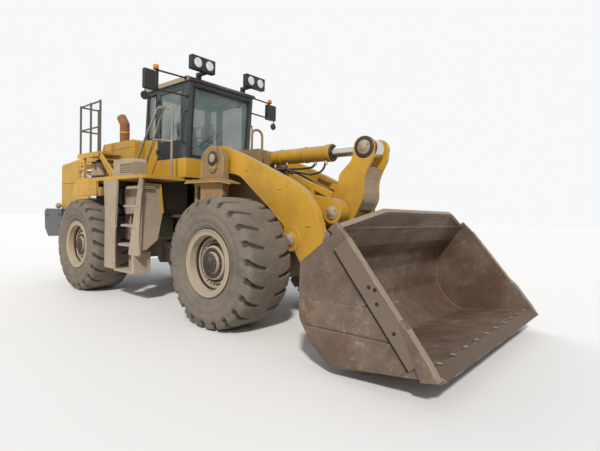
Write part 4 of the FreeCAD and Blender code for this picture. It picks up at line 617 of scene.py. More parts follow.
def wheel_hardware(place, x, side):
    """Studs, rings of painted shade, rim rings and hub cap. Offsets are from the middle of the tyre to its
    outer side.
    """
    body = "wheel_" + place
    centre = (x, side * TRACK_HALF, AXLE_Z)
    studs = Shape()
    for point in circle(centre, "y", 0.302, 26, side * 0.185):
        studs.ring(point, "y", [(0.024, 0), (0.024, 0.008)], 12, False, side)
        studs.ring(point, "y", [(0.019, 0.008), (0.019, 0.03), (0.014, 0.036)], 6, False, side)
        studs.ring(point, "y", [(0.01, 0.036), (0.01, 0.062), (0.007, 0.066)], 8, False, side)
    studs.finish("studs_" + place, "rim", body)
    # Painted shade: a dark ring behind the studs and a dark band on the rim's inner wall, where shadow falls.
    shade = Shape()
    for profile in ([(0.336, 0.1855), (0.336, 0.187), (0.263, 0.187), (0.263, 0.1855)],
                    [(0.4, 0.274), (0.3985, 0.2755), (0.379, 0.2455), (0.38, 0.244)]):
        shade.band(centre, "y", profile, 72, side)
    shade.finish("rim_painted_shade_" + place, "dark", body)
    flange = Shape()
    for profile in ([(0.47, 0.378), (0.478, 0.394), (0.49, 0.396), (0.497, 0.388), (0.497, 0.372)],
                    [(0.408, 0.3), (0.399, 0.308), (0.392, 0.3)],
                    [(0.379, 0.24), (0.366, 0.25), (0.352, 0.24), (0.356, 0.215)]):
        flange.band(centre, "y", profile, 72, side)
    flange.finish("rim_rings_" + place, "rim", body)
    # The hub cap is in the dark grease colour: grease, and painted shade for the recessed hub.
    hub = Shape()
    hub.band(centre, "y", [(0.225, 0.2852), (0.222, 0.289), (0.158, 0.289), (0.158, 0.2852)], 48, side)
    hub.bolts(circle(centre, "y", 0.198, 16, side * 0.289), 0.014, 0.014, out=side)
    hub.ring(centre, "y", [(0.15, 0.32), (0.15, 0.334), (0.14, 0.34), (0.062, 0.34), (0.056, 0.352),
                           (0, 0.352)], 32, out=side)
    hub.bolts(circle(centre, "y", 0.118, 12, side * 0.34), 0.011, 0.01, out=side)
    hub.finish("hub_cap_" + place, "grease", body)


# Arms, linkage and bucket

def pin_keeper(shape, pin, y, r):
    """Stepped retainer over the end of a pin, with its three bolts."""
    centre = (pin[0], y, pin[1])
    shape.ring(centre, "y", [(r, 0), (r, 0.01), (r - 0.006, 0.014), (r * 0.62, 0.014), (r * 0.58, 0.022),
                             (0, 0.022)], 28)
    shape.bolts(circle(centre, "y", r * 0.78, 3, 0.014, 0.5), 0.012, 0.012)


def boom_details():
    pins = Shape()
    pin_keeper(pins, BUCKET_PIN, 0.9, 0.075)
    pin_keeper(pins, LIFT_ROD_PIN, 0.82, 0.085)
    pin_keeper(pins, LEVER_PIN, 0.49, 0.1)
    pins.pair("boom_pin_keepers", "dusty", "boom")
    seams = Shape()
    edge = [(-0.6, 2.4), (-0.34, 2.275), (-0.05, 2.06), (0.3, 1.8), (0.6, 1.54)]
    seams.bent_pipe([(x, 0.792, z + 0.05) for x, z in edge], 0.007, 6, 6)
    for x, z in ((-0.2, 2.42), (0.55, 2.1), (1.12, 1.55)):
        seams.box(x - 0.035, x + 0.035, 0.789, 0.797, z - 0.02, z + 0.02)
        seams.bolts([(x - 0.02, 0.797, z), (x + 0.02, 0.797, z)], 0.008, 0.006)
    seams.pair("boom_weld_and_clips", "yellow", "boom")
    lines = Shape()
    route = [(-0.62, 0.652, 2.6), (-0.2, 0.648, 2.45), (0.4, 0.648, 2.15), (0.85, 0.645, 1.96),
             (1.0, 0.6, 1.86)]
    for drop in (0, 0.045):
        lines.bent_pipe([(x, y, z - drop) for x, y, z in route], 0.013)
    lines.pair("boom_lines", "hose", "boom")


def lever_details():
    lever = Shape()
    pin_keeper(lever, LEVER_TOP, 0.235, 0.105)
    pin_keeper(lever, LEVER_FOOT, 0.235, 0.085)
    lever.pair("lever_pin_keepers", "dusty", "bell_crank")
    grease = Shape()
    grease.ring((LEVER_TOP[0], 0.235, LEVER_TOP[1]), "y", [(0.162, 0), (0.158, 0.004), (0.1, 0.006)], 36)
    grease.ring((LEVER_FOOT[0], 0.235, LEVER_FOOT[1]), "y", [(0.125, 0), (0.12, 0.004), (0.08, 0.006)], 32)
    grease.pair("lever_grease", "grease", "bell_crank")
    front = [(1.593, 1.8), (1.641, 1.884), (1.656, 1.91), (1.669, 1.962), (1.674, 2.046), (1.67, 2.114),
             (1.674, 2.19), (1.682, 2.25), (1.705, 2.32), (1.724, 2.372), (1.752, 2.43)]
    web = Shape()
    web.prism(front + [(x - 0.03, z) for x, z in reversed(front)], "y", -0.1805, 0.1805)
    web.finish("lever_front_web", "dusty", "bell_crank", 0.003)


def cylinder_details():
    gland = Shape()
    head = (0.957, 0, TILT_Z)
    gland.band(head, "x", [(0.128, -0.075), (0.133, -0.07), (0.133, 0), (0.128, 0.012), (0.112, 0.016),
                           (0.088, 0.016), (0.088, 0), (0.12, -0.075)])
    gland.bolts(circle(head, "x", 0.115, 10, 0.012), 0.009, 0.01, "x")
    gland.finish("tilt_gland", "grease", "tilt_barrel")
    bands = Shape()
    for x in (-0.12, 0.42):
        bands.band((x, 0, TILT_Z), "x", [(0.1285, -0.02), (0.1345, -0.018), (0.1345, 0.018), (0.1285, 0.02)])
    bands.band((-0.3, 0, TILT_Z), "x", [(0.104, -0.03), (0.122, -0.016), (0.126, 0)])
    bands.finish("tilt_barrel_bands", "yellow", "tilt_barrel")
    ports = Shape()
    for x, y, z, r in ((-0.255, -0.06, 2.585, 0.026), (0.66, -0.06, 2.585, 0.026), (0.06, -0.1, 2.6, 0.024),
                       (0.905, -0.1, 2.58, 0.024)):
        ports.ring((x, y, z), "z", [(r, -0.035), (r, -0.005), (r * 0.8, 0)], 6, False)
        ports.ring((x, y, z - 0.04), "z", [(r * 0.86, -0.025), (r * 0.92, 0), (r * 0.8, 0.006)], 14)
    ports.finish("hose_fittings", "chrome", "tilt_barrel")
    for side, name in SIDES:
        line = Shape()
        start = Vector((LIFT_BASE_PIN[0], side * LIFT_Y, LIFT_BASE_PIN[1]))
        end = Vector((LIFT_ROD_PIN[0], side * LIFT_Y, LIFT_ROD_PIN[1]))
        way = (end - start).normalized()
        over = Vector((-way.z, 0, way.x))
        for share in (0.3, 0.62, 0.93):
            at = start + way * (share * 1.83)
            line.band(tuple(at), "x", [(0.1015, -0.02), (0.107, -0.017), (0.107, 0.017), (0.1015, 0.02)], 28)
        a, b = start + way * 0.56 + over * 0.1, start + way * 1.74 + over * 0.1
        line.bent_pipe([a, a + over * 0.035 + way * 0.04, (a + b) / 2 + over * 0.035,
                        b + over * 0.035 - way * 0.04, b], 0.014)
        line.finish("lift_barrel_line_" + name, "frame_yellow", "lift_barrel_" + name)


def bucket_details():
    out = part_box("bucket")[1].y
    side = out - 0.035
    cutters = Shape()
    top, toe = Vector((2.56, 1.48)), Vector((3.43, 0.42))
    back = Vector((-0.15, -0.123))
    strip = [top, toe, toe + back, top + back]
    cutters.prism([(p.x, p.y) for p in strip], "y", side, side + 0.031)
    cutters.prism([(2.545, 1.494), (2.562, 1.482), (3.432, 0.422), (3.415, 0.436)], "y", side - 0.062,
                  side + 0.0325)
    guard = [(3.165, 0.745), (3.255, 0.675), (3.475, 0.395), (3.565, 0.262), (3.4, 0.232), (3.245, 0.555)]
    cutters.prism(guard, "y", side - 0.058, out - 0.001)
    cutters.pair("bucket_side_cutters", "bucket_edge", "bucket", 0.006)
    # Painted shadow: a thin dark strip on the side plate along each cutter strip's back edge, where the strip
    # casts its shadow.
    shadow = Shape()
    low, high = toe + back * 1.02, top + back * 1.02
    over = back.normalized() * 0.026
    shadow.prism([(p.x, p.y) for p in (low, high, high + over, low + over)], "y", side, side + 0.0165)
    shadow.pair("bucket_side_painted_shadow", "dark", "bucket")
    plates = Shape()
    low = [(2.385, 0.135), (2.135, 0.312), (2.01, 0.49), (3.11, 0.505), (3.255, 0.335), (3.18, 0.225)]
    high = [(2.005, 0.512), (1.955, 0.62), (1.95, 0.775), (2.84, 0.81), (2.9, 0.775), (3.115, 0.525)]
    plates.prism(low, "y", side, side + 0.016)
    plates.prism(high, "y", side, side + 0.012)
    plates.pair("bucket_wear_plates", "bucket", "bucket", 0.003)
    # Bolt holes in the cutter strip, drawn as flat dark discs of painted shade.
    hole_shade = Shape()
    for x, z in ((2.835, 1.018), (2.905, 1.0), (2.93, 0.865), (3.12, 0.615)):
        hole_shade.ring((x, side + 0.0316, z), "y", [(0.021, 0), (0.014, 0.0006), (0, 0.0008)], 16, False)
    hole_shade.pair("bucket_strip_hole_shade", "dark", "bucket")
    bolts = Shape()
    for i in range(10):
        bolts.ring((3.435, -1.62 + 0.36 * i, 0.338), "z", [(0.03, -0.004), (0.03, 0.004), (0.018, 0.008)], 14,
                   False)
    bolts.finish("cutting_edge_bolts", "bucket_edge", "bucket")


def spill_guard_rim():
    """Lip round the spill guard: along its edge, a hooked section in (up the guard, out of it)."""
    rim = Shape()
    lean = math.radians(SPILL_LEAN)
    edge = [(-1.9, 0.19), (-1.84, 0.25), (-1.02, 0.483), (1.02, 0.483), (1.84, 0.25), (1.9, 0.19)]
    section = [(0.002, -0.014), (0.002, 0.058), (-0.055, 0.058), (-0.055, 0.041), (-0.02, 0.041),
               (-0.02, -0.014)]
    for ends in zip(edge, edge[1:]):
        verts = []
        for y, reach in ends:
            for up, t in section:
                s = reach + up
                verts.append((SPILL_BASE[0] + t * math.cos(lean) + s * math.sin(lean), y,
                              SPILL_BASE[1] - t * math.sin(lean) + s * math.cos(lean)))
        sides = [(i, (i + 1) % 6, (i + 1) % 6 + 6, i + 6) for i in range(6)]
        rim.put(verts, sides + [tuple(range(6)), tuple(range(11, 5, -1))])
    rim.finish("spill_guard_rim", "bucket_edge", "bucket", 0.004)


# Front frame

def tower_details():
    caps = Shape()
    hinge_x, hinge_z = BOOM_HINGE
    for u, v in ((-1, -1), (1, -1), (1, 1), (-1, 1)):
        caps.bolt((hinge_x + 0.055 * u, 0.985, hinge_z + 0.17 * v), 0.017, 0.016)
    caps.ring((hinge_x, 1.0, hinge_z), "y", [(0.074, 0), (0.074, 0.004), (0.058, 0.008), (0, 0.008)], 28)
    seam = [(-1.19, 1.56), (-1.19, 2.6), (-1.02, 2.82), (-0.72, 2.82), (-0.6, 2.66), (-0.6, 2.06),
            (-1.02, 1.6)]
    for (x0, z0), (x1, z1) in zip(seam, seam[1:]):
        caps.pipe([(x0, TOWER_Y, z0), (x1, TOWER_Y, z1)], 0.005, 6)
    for z in (1.75, 1.95, 2.15):
        caps.bolt((-1.15, TOWER_Y, z), 0.013, 0.011)
    caps.pair("tower_caps", "dusty", "front_body")
    grease = Shape()
    grease.ring((hinge_x, 0.985, hinge_z), "y", [(0.128, 0), (0.126, 0.003), (0.07, 0.004)], 36)
    grease.pair("tower_grease", "grease", "front_body")
    fender = Shape()
    fender.bolt_row((-1.48, 1.02, 2.275), (-0.62, 1.02, 2.275), 6, 0.012, 0.01, "z")
    fender.prism([(-1.55, 2.218), (-0.56, 2.218), (-0.3, 2.17), (-0.3, 2.185), (-0.56, 2.235),
                  (-1.55, 2.235)], "y", 1.036, 1.049)
    fender.pair("fender_edge", "beige", "front_body")
    lines = Shape()
    for i in range(4):
        y = -0.15 + 0.1 * i
        lines.bent_pipe([(-1.42, y, 1.66), (-1.4, y, 2.1), (-1.24, y * 0.8, 2.255), (-0.9, y * 0.8, 2.29),
                         (-0.82, y * 0.8, 2.3)], 0.017)
    lines.finish("tower_hoses", "hose", "front_body")


# Rear body

def ladder_details():
    treads = Shape()
    hole_shade = Shape()
    for share in (0.12, 0.38, 0.64, 0.88):
        z = 0.9 + 1.4 * share + 0.0205
        x = -2.44 + 0.38 * share
        for k in range(9):
            treads.bar(x - 0.44 + 0.058 * k, 1.345, 1.575, z, 0.014, 0.009, 0.004)
        treads.box(x + 0.04, x + 0.0625, 1.332, 1.6, z - 0.042, z + 0.006)
        # Holes along each tread's front, drawn as flat dark discs of painted shade.
        for k in range(5):
            hole_shade.ring((x + 0.0632, 1.375 + 0.046 * k, z - 0.018), "x", [(0.013, 0), (0, 0.0006)], 12, False)
    treads.pair("ladder_tread_teeth", "dusty")
    hole_shade.pair("ladder_tread_hole_shade", "dark")
    sides = Shape()
    for x, z in ((-3.3, 0.72), (-3.3, 1.1), (-3.3, 1.48), (-3.34, 1.86), (-3.36, 2.22), (-3.03, 0.72),
                 (-3.03, 1.1), (-2.98, 2.22), (-2.06, 2.2), (-2.14, 1.8), (-2.2, 1.4), (-2.3, 0.98)):
        sides.bolt((x, DECK_Y, z), 0.014, 0.012)
    sides.bent_pipe([(-2.93, 1.6, 0.6), (-2.93, 1.628, 0.72), (-2.93, 1.628, 1.3), (-2.93, 1.6, 1.42)],
                    0.014, 10, 6)
    sides.bent_pipe([(-2.05, 1.6, 1.1), (-2.05, 1.632, 1.22), (-1.99, 1.632, 1.98), (-1.99, 1.6, 2.1)],
                    0.014, 10, 6)
    sides.pair("ladder_bolts_and_grips", "dusty")


def underdeck_details():
    """What hangs behind the ladders: a case, valves with hoses, and the mudguards' flanges."""
    case = Shape()
    case.prism([(-3.17, 1.7), (-3.1, 1.64), (-2.72, 1.66), (-2.6, 1.76), (-2.6, 2.14), (-2.66, 2.2),
                (-3.1, 2.2), (-3.17, 2.12)], "y", 1.235, 1.325)
    case.bent_pipe([(-2.9, 1.25, 1.66), (-2.86, 1.27, 1.42), (-2.8, 1.26, 1.2), (-2.74, 1.235, 1.16)],
                   0.022, 10)
    case.bent_pipe([(-3.02, 1.25, 1.66), (-3.0, 1.28, 1.4), (-2.96, 1.25, 1.16)], 0.016, 10)
    case.pair("ladder_case", "dusty", bevel=0.012)
    drum = Shape()
    for x, z, r in ((-2.42, 1.45, 0.085), (-2.42, 1.72, 0.065)):
        drum.ring((x, 1.15, z), "x", [(r * 0.5, -0.17), (r, -0.15), (r, -0.02), (r * 1.06, -0.02),
                                      (r * 1.06, 0), (r, 0), (r, 0.13), (r * 0.6, 0.15)])
    for y in (1.1, 1.16, 1.22):
        drum.bent_pipe([(-2.62, y, 1.16), (-2.55, y + 0.02, 1.4), (-2.38, y, 1.6), (-2.3, y - 0.03, 1.9),
                        (-2.34, y - 0.05, 2.24)], 0.014)
    drum.pair("valve_and_hoses", "hose")
    hitch_x = (REAR_AXLE_X - FRONT_AXLE_X) / 2
    inner = [(1.1935, 2.213), (1.1735, 1.98), (1.1335, 1.68)]
    flange = Shape()
    flange.prism(inner + [(y + 0.032, z) for y, z in reversed(inner)], "x", hitch_x + 0.136, hitch_x + 0.1765)
    flange.pair("mudguard_flanges", "cab_yellow", bevel=0.002)


def deck_details():
    deck = Shape()
    for x0, x1, y0, y1 in ((-3.25, -2.02, 0.86, 1.18), (-4.7, -4.05, 1.1, 1.58), (-2.5, -2.02, 1.24, 1.58)):
        for i in range(int((x1 - x0) / 0.055)):
            deck.bar(x0 + 0.055 * i, y0, y1, DECK_Z)
    deck.box(-4.94, -3.96, 1.02, 1.48, UPPER_DECK_Z, UPPER_DECK_Z + 0.004)
    for i in range(16):
        deck.bar(-4.92 + 0.06 * i, 1.03, 1.47, UPPER_DECK_Z + 0.004, rise=0.004)
    deck.pair("deck_tread_bars", "dusty")
    edge = Shape()
    edge.box(-4.74, -1.965, 1.598, 1.6205, 2.352, 2.367)
    edge.bolt_row((-4.6, DECK_Y, 2.13), (-3.86, DECK_Y, 2.13), 4, 0.014, 0.012)
    edge.bolt_row((-4.6, DECK_Y, 2.26), (-2.1, DECK_Y, 2.33), 9, 0.011, 0.01)
    edge.bolts([(-4.02, 1.466, 2.87), (-3.7, 1.466, 2.62), (-3.42, 1.466, 2.42)], 0.012, 0.01)
    edge.pair("deck_edge_and_bolts", "beige", bevel=0.002)
    # Holes in the stair's side, drawn as flat dark discs of painted shade.
    rack = Shape()
    for k in range(6):
        for i in range(4):
            rack.ring((-3.86 + 0.105 * k, 1.4662, 2.755 - 0.068 * k - 0.045 * i * 0.9), "y",
                      [(0.014, 0), (0, 0.0006)], 12, False)
    rack.pair("stair_side_hole_shade", "dark")
    gear = Shape()
    for x in (-4.63, -4.39):
        top = (x, 1.23, 2.76)
        gear.ring(top, "z", [(0.098, -0.34), (0.1, -0.33), (0.1, -0.3), (0.096, -0.29)], 28)
        gear.ring(top, "z", [(0.098, -0.03), (0.104, -0.02), (0.104, 0), (0.06, 0.012), (0, 0.012)], 28)
    gear.bent_pipe([(-4.63, 1.23, 2.77), (-4.6, 1.12, 2.84), (-4.5, 1.01, 2.82)], 0.035, 12)
    gear.bent_pipe([(-4.39, 1.23, 2.77), (-4.33, 1.12, 2.83), (-4.28, 1.01, 2.8)], 0.035, 12)
    gear.pair("canister_caps_and_ducts", "plastic")


def hood_details():
    seams = Shape()
    skin = HOOD_Y + 0.0015
    for x in (-3.62, -4.78, -5.0, -6.12):
        seams.box(x - 0.004, x + 0.004, HOOD_Y, skin, 2.37, 2.84)
    seams.box(-7.14, -3.42, HOOD_Y, skin, 2.372, 2.38)
    seams.box(-4.76, -3.45, HOOD_Y, skin, 3.04, 3.047)
    seams.pair("hood_seams", "dark")
    bolts = Shape()
    bolts.bolt_row((-7.08, HOOD_Y, 2.42), (-7.08, HOOD_Y, 2.78), 4, 0.011, 0.009)
    bolts.bolt_row((-6.9, HOOD_Y, 1.8), (-5.9, HOOD_Y, 1.8), 5, 0.012, 0.01)
    bolts.bolt_row((-6.9, HOOD_Y, 2.3), (-4.85, HOOD_Y, 2.3), 7, 0.012, 0.01)
    bolts.bolt_row((-4.7, HOOD_Y, 3.16), (-3.48, HOOD_Y, 3.16), 5, 0.01, 0.008)
    for z in (2.56, 2.7):
        bolts.box(-6.02, -5.96, HOOD_Y, HOOD_Y + 0.012, z, z + 0.05)
    bolts.pair("hood_bolts", "beige")
    grille = Shape()
    for i in range(12):
        x = -6.75 + 0.045 * i
        z = 2.86 + (x + 7.15) * (3.06 - 2.86) / 2.3
        grille.prism([(x, z + 0.001), (x + 0.024, z + 0.003), (x + 0.024, z + 0.01), (x, z + 0.008)], "y",
                     -0.42, 0.42)
    for y in (-0.45, 0.43):
        grille.prism([(-6.8, 2.8905), (-6.18, 2.9444), (-6.18, 2.957), (-6.8, 2.903)], "y", y, y + 0.02)
    grille.finish("hood_top_vent", "plastic")
    stack = Shape()
    foot = (-4.5, -0.65, 3.2)
    stack.band(foot, "z", [(0.19, 0), (0.19, 0.012), (0.125, 0.02), (0.118, 0.05), (0.107, 0.055)])
    stack.band(foot, "z", [(0.106, 0.27), (0.113, 0.275), (0.113, 0.305), (0.106, 0.31)])
    stack.finish("stack_collar", "beige")


def rear_door_details():
    """Grille mesh and the latches of the doors on the hood."""
    mesh = Shape()
    for i in range(24):
        y = -0.8 + 1.6 * i / 23
        mesh.box(-7.122, -7.118, y - 0.003, y + 0.003, 1.85, 2.71)
    mesh.finish("grille_mesh", "dark", "rear_grille")
    knob = Shape()
    knob.ring((-7.15, -0.8, 2.28), "x", [(0.03, 0), (0.03, -0.012), (0.014, -0.014), (0.014, -0.034),
                                          (0, -0.036)], 18)
    knob.finish("grille_latch", "plastic", "rear_grille")
    for side, name in SIDES:
        latch = Shape()
        y = side * HOOD_Y
        latch.ring((-6.03, y, 2.63), "y", [(0.026, 0), (0.026, 0.008), (0.014, 0.01), (0.01, 0.02),
                                           (0, 0.02)], 18, out=side)
        for z in (2.425, 2.835):
            latch.bolt_row((-5.95, y, z), (-5.15, y, z), 5, 0.009, 0.007, out=side)
        latch.finish("engine_door_latch_" + name, "plastic", "engine_door_" + name)


def tail_details():
    tail = Shape()
    for y in (0.55, 0.95):
        tail.ring((-7.42, y, 1.5), "x", [(0.052, 0.006), (0.052, -0.006), (0.04, -0.01), (0, -0.01)])
    tail.bolt((-7.416, 1.15, 1.42), 0.022, 0.018, "x", -1)
    tail.bolts([(-6.45, 1.32, 1.3), (-6.45, 1.32, 1.58), (-7.2, 1.32, 1.55)], 0.03, 0.022)
    tail.pair("counterweight_bolts", "grey")
    lamp_at = (-7.02, 1.12, 1.8)
    lamp = Shape()
    lamp.ring(lamp_at, "x", [(0, 0.05), (0.055, 0.04), (0.072, 0), (0.072, -0.02), (0.064, -0.024)])
    lamp.pipe([(-7.0, 1.12, 1.8), (-7.0, 1.12, 1.71)], 0.016, 8)
    lamp.pair("tail_lamp_bodies", "dusty")
    lens = Shape()
    lens.ring(lamp_at, "x", [(0.064, -0.024), (0.05, -0.034), (0, -0.04)])
    lens.pair("tail_lamp_lenses", "red_lens")


# Cab

def cab_details():
    bar = Shape()
    bar.box(-3.27, -1.78, 0.828, 0.838, 4.165, 4.25)
    bar.pair("roof_side_bars", "dusty", bevel=0.002)
    trim = Shape()
    skin = CAB_Y + 0.0035
    trim.prism([(-3.352, 2.37), (-2.862, 2.37), (-2.862, 3.19), (-3.3, 3.19), (-3.352, 3.15)],
               "y", 0.79, skin)
    trim.box(-2.862, -1.879, 0.79, skin, 2.37, 2.735)
    trim.both()
    trim.box(-1.889, -1.8765, -CAB_Y, CAB_Y, 2.37, 2.735)
    trim.finish("cab_lower_panels", "cab_yellow", bevel=0.003)
    screen = Shape()
    for y in (-0.705, 0.675):
        screen.prism([(-1.888, 2.775), (-1.878, 2.775), (-1.79, 4.075), (-1.8, 4.075)], "y", y, y + 0.03)
    for x, z in ((-1.888, 2.775), (-1.8, 4.045)):
        screen.box(x, x + 0.012, -0.705, 0.705, z, z + 0.03)
    screen.finish("windscreen_seal", "dark")
    seal = Shape()
    for x0, x1, z0, z1 in ((-3.24, -2.91, 3.18, 3.208), (-3.24, -2.91, 4.072, 4.1),
                           (-3.24, -3.212, 3.2, 4.08), (-2.938, -2.91, 3.2, 4.08)):
        seal.box(x0, x1, CAB_Y - 0.002, CAB_Y + 0.006, z0, z1)
    seal.pair("side_window_seals", "dark")
    wiper = Shape()
    wiper.ring((-1.872, 0.1, 2.72), "x", [(0.03, -0.01), (0.03, 0.015), (0.018, 0.022), (0, 0.022)], 16)
    wiper.pipe([(-1.862, 0.1, 2.72), (-1.845, -0.12, 2.98), (-1.838, -0.28, 3.16)], 0.008, 8)
    wiper.pipe([(-1.852, -0.5, 2.98), (-1.836, -0.28, 3.17), (-1.822, -0.05, 3.38)], 0.009, 6)
    wiper.pipe([(-1.9, 0.66, 4.12), (-1.8, 0.42, 3.9)], 0.007, 6)
    wiper.finish("wipers", "plastic")
    rails = Shape()
    rails.bent_pipe([(-1.93, CAB_Y, 3.02), (-1.9, 0.87, 3.06), (-1.865, 0.87, 3.55), (-1.865, CAB_Y, 3.6)],
                    0.014, 10, 6)
    rails.pair("cab_grips", "plastic")


def steering_wheel():
    wheel = Shape()
    lean = math.radians(35)

    def on_rim(radius, a):
        u = radius * math.cos(a)
        return (-2.34 - u * math.cos(lean), radius * math.sin(a), 3.16 + u * math.sin(lean))

    wheel.pipe([on_rim(0.2, 2 * math.pi * i / 24) for i in range(25)], 0.014, 8)
    for a in (0.5, 2.6, 4.7):
        wheel.pipe([(-2.34, 0, 3.15), on_rim(0.19, a)], 0.01, 6)
    wheel.pipe([(-2.24, 0, 3.04), (-2.345, 0, 3.165)], 0.022, 10)
    wheel.finish("steering_wheel", "plastic")


def cab_lining():
    inside = Shape()
    inside.box(-3.22, -1.93, -0.73, 0.73, 2.426, 2.434)
    inside.box(-3.2, -1.92, -0.7, 0.7, 4.135, 4.158)
    inside.prism([(-3.02, 2.55), (-2.52, 2.55), (-2.46, 2.98), (-2.5, 3.06), (-2.98, 3.02)],
                 "y", 0.325, 0.335)
    inside.prism([(-1.99, 2.46), (-1.955, 2.46), (-1.955, 2.8), (-2.1, 2.92), (-2.16, 2.9)], "y", -0.55, 0.55)
    inside.finish("cab_lining", "fabric", bevel=0.004)


def cab_door_details():
    for side, name in SIDES:
        door = Shape()
        x0, x1 = DOOR_X
        door.box(x0 + 0.02, x1 - 0.02, side * 0.793, side * 0.802, 2.765, 3.09)
        grip = [(0.8, 3.2), (0.83, 3.22), (0.83, 3.4), (0.8, 3.42)]
        door.pipe([(x1 - 0.1, side * y, z) for y, z in grip], 0.011, 8)
        door.finish("cab_door_trim_" + name, "plastic", "cab_door_" + name, 0.002)


def lamp_details():
    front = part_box("work_lamps")[1].x - FRONT_AXLE_X
    rims = Shape()
    lens = Shape()
    for y in (0.53, 0.79):
        centre = (front, y, 4.445)
        rims.band(centre, "x", [(0.108, -0.006), (0.108, 0.003), (0.094, 0.0045), (0.09, -0.002)], 28)
        lens.ring(centre, "x", [(0.092, -0.004), (0.085, 0.001), (0.05, 0.003), (0, 0.004)], 28)
    rims.pair("lamp_rims", "plastic")
    lens.pair("lamp_lenses", "lens")
    dome = Shape()
    dome.ring((-1.9, 1.43, 4.215), "z", [(0.048, 0), (0.048, 0.065), (0.042, 0.082), (0, 0.088)])
    dome.pair("beacon_domes", "orange_lens")
    mirror = Shape()
    mirror.box(-1.997, -1.9945, 1.385, 1.635, 3.875, 4.175)
    mirror.pair("mirror_faces", "chrome")


def seat_details():
    base = Shape()
    base.prism([(-2.85, 2.425), (-2.55, 2.425), (-2.52, 2.5), (-2.5, 2.82), (-2.9, 2.82), (-2.88, 2.5)], "y",
               -0.19, 0.19)
    base.box(-2.96, -2.47, -0.25, 0.25, 2.82, 2.855)
    for side in (1, -1):
        y0, y1 = sorted((side * 0.275, side * 0.335))
        base.prism([(-2.95, 3.06), (-2.6, 3.06), (-2.58, 3.09), (-2.6, 3.115), (-2.95, 3.115)], "y", y0, y1)
        base.pipe([(-2.93, side * 0.3, 3.07), (-2.93, side * 0.24, 2.98)], 0.014, 8)
    frame_piece = base.finish("seat_base", "plastic", bevel=0.006)
    cushion = pad("seat_cushion", (-2.71, 0, 2.925), (0.25, 0.255, 0.07), 0.0)
    back = pad("seat_back", (-2.985, 0, 3.32), (0.055, 0.235, 0.31), -0.21)
    for piece in (frame_piece, cushion, back):
        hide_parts("seat")


def pad(name, centre, half, lean):
    """Crowned cushion with rounded sides, thin along Z or, for a back, along X. Its lean is in radians."""
    rings = 10
    sides = 48
    hx, hy, hz = half
    flat = min(half) == hz
    points = []
    for k in range(rings + 1):
        t = -1 + 2 * k / rings
        swell = (1 - abs(t) ** 3.2) ** 0.45 if abs(t) < 1 else 0.0
        shrink = 0.9 + 0.1 * swell
        for i in range(sides):
            a = 2 * math.pi * i / sides
            u = math.copysign(abs(math.cos(a)) ** 0.35, math.cos(a)) * shrink
            v = math.copysign(abs(math.sin(a)) ** 0.35, math.sin(a)) * shrink
            crown = 0.82 + 0.18 * (1 - 0.5 * (u * u + v * v))
            if flat:
                x, y, z = u * hx, v * hy, t * hz * crown
            else:
                x, y, z = t * hx * crown, v * hy, u * hz
            points.append((centre[0] + x + math.sin(lean) * z, centre[1] + y, centre[2] + z))
    shape = Shape()
    faces = wall(rings + 1, sides)
    top = rings * sides
    points += [tuple(sum(p[c] for p in points[s:s + sides]) / sides for c in range(3)) for s in (0, top)]
    faces += [(len(points) - 2, (i + 1) % sides, i) for i in range(sides)]
    faces += [(len(points) - 1, top + i, top + (i + 1) % sides) for i in range(sides)]
    shape.put(points, faces, True)
    return shape.finish(name, "fabric")


# Camera, floor and light

def make_camera():
    yaw, pitch, roll = (math.radians(a) for a in (CAMERA_YAW, CAMERA_PITCH, CAMERA_ROLL))
    turn = (Matrix.Rotation(yaw, 4, "Z") @ Matrix.Rotation(math.pi / 2 + pitch, 4, "X")
            @ Matrix.Rotation(roll, 4, "Z"))
    x, y, z = CAMERA_FROM_AXLE
    data = bpy.data.cameras.new("camera")
    data.lens = CAMERA_LENS
    data.clip_end = 300
    camera = place_object("camera", data)
    camera.matrix_world = Matrix.Translation((x + FRONT_AXLE_X, y, z)) @ turn
    bpy.context.scene.camera = camera


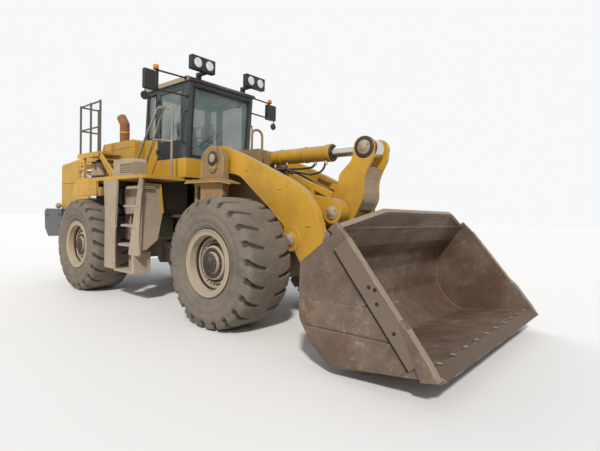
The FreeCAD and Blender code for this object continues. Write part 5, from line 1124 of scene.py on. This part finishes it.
def make_floor():
    mesh = bpy.data.meshes.new("floor")
    bm = bmesh.new()
    bmesh.ops.create_grid(bm, x_segments=1, y_segments=1, size=120)
    bm.to_mesh(mesh)
    bm.free()
    floor = place_object("floor", mesh)
    material, _, shader = new_material("floor_pale")
    shader.inputs["Base Color"].default_value = (0.8, 0.79, 0.77, 1)
    shader.inputs["Roughness"].default_value = 0.95
    mesh.materials.append(material)


def make_world():
    """Soft sky light. Camera, glossy and transmitted rays see a pale backdrop instead."""
    world = bpy.data.worlds.new("world")
    bpy.context.scene.world = world
    world.use_nodes = True
    tree = world.node_tree
    light = tree.nodes["Background"]
    light.inputs["Color"].default_value = (0.86, 0.9, 1.0, 1)
    light.inputs["Strength"].default_value = 0.46
    backdrop = add(tree, "ShaderNodeBackground", in_Color=(0.93, 0.94, 0.95, 1), in_Strength=1.0)
    path = add(tree, "ShaderNodeLightPath")
    seen = math_node(tree, "MAXIMUM", path.outputs["Is Camera Ray"], path.outputs["Is Transmission Ray"])
    seen = math_node(tree, "MAXIMUM", seen, path.outputs["Is Glossy Ray"])
    mix = add(tree, "ShaderNodeMixShader")
    tree.links.new(seen, mix.inputs[0])
    tree.links.new(light.outputs[0], mix.inputs[1])
    tree.links.new(backdrop.outputs[0], mix.inputs[2])
    tree.links.new(mix.outputs[0], tree.nodes["World Output"].inputs["Surface"])


def make_sun(name, strength, spread, direction, colour):
    data = bpy.data.lights.new(name, "SUN")
    data.energy = strength
    data.angle = math.radians(spread)
    data.color = colour
    lamp = place_object(name, data)
    lamp.rotation_mode = "QUATERNION"
    lamp.rotation_quaternion = Vector(direction).to_track_quat("-Z", "Y")


dress_nodes()
for place, x, side in WHEELS:
    tyre_piece(place)
    wheel_hardware(place, x, side)
boom_details()
lever_details()
cylinder_details()
bucket_details()
spill_guard_rim()
tower_details()
ladder_details()
underdeck_details()
deck_details()
hood_details()
rear_door_details()
tail_details()
cab_details()
steering_wheel()
cab_lining()
cab_door_details()
lamp_details()
seat_details()
make_camera()
make_floor()
make_world()
make_sun("key", 2.9, 5, (-0.48, 0.62, -0.68), (1.0, 0.965, 0.91))
make_sun("fill", 1.2, 45, (0.85, -0.45, -0.5), (0.92, 0.96, 1.0))
bpy.context.scene.view_settings.view_transform = "Standard"
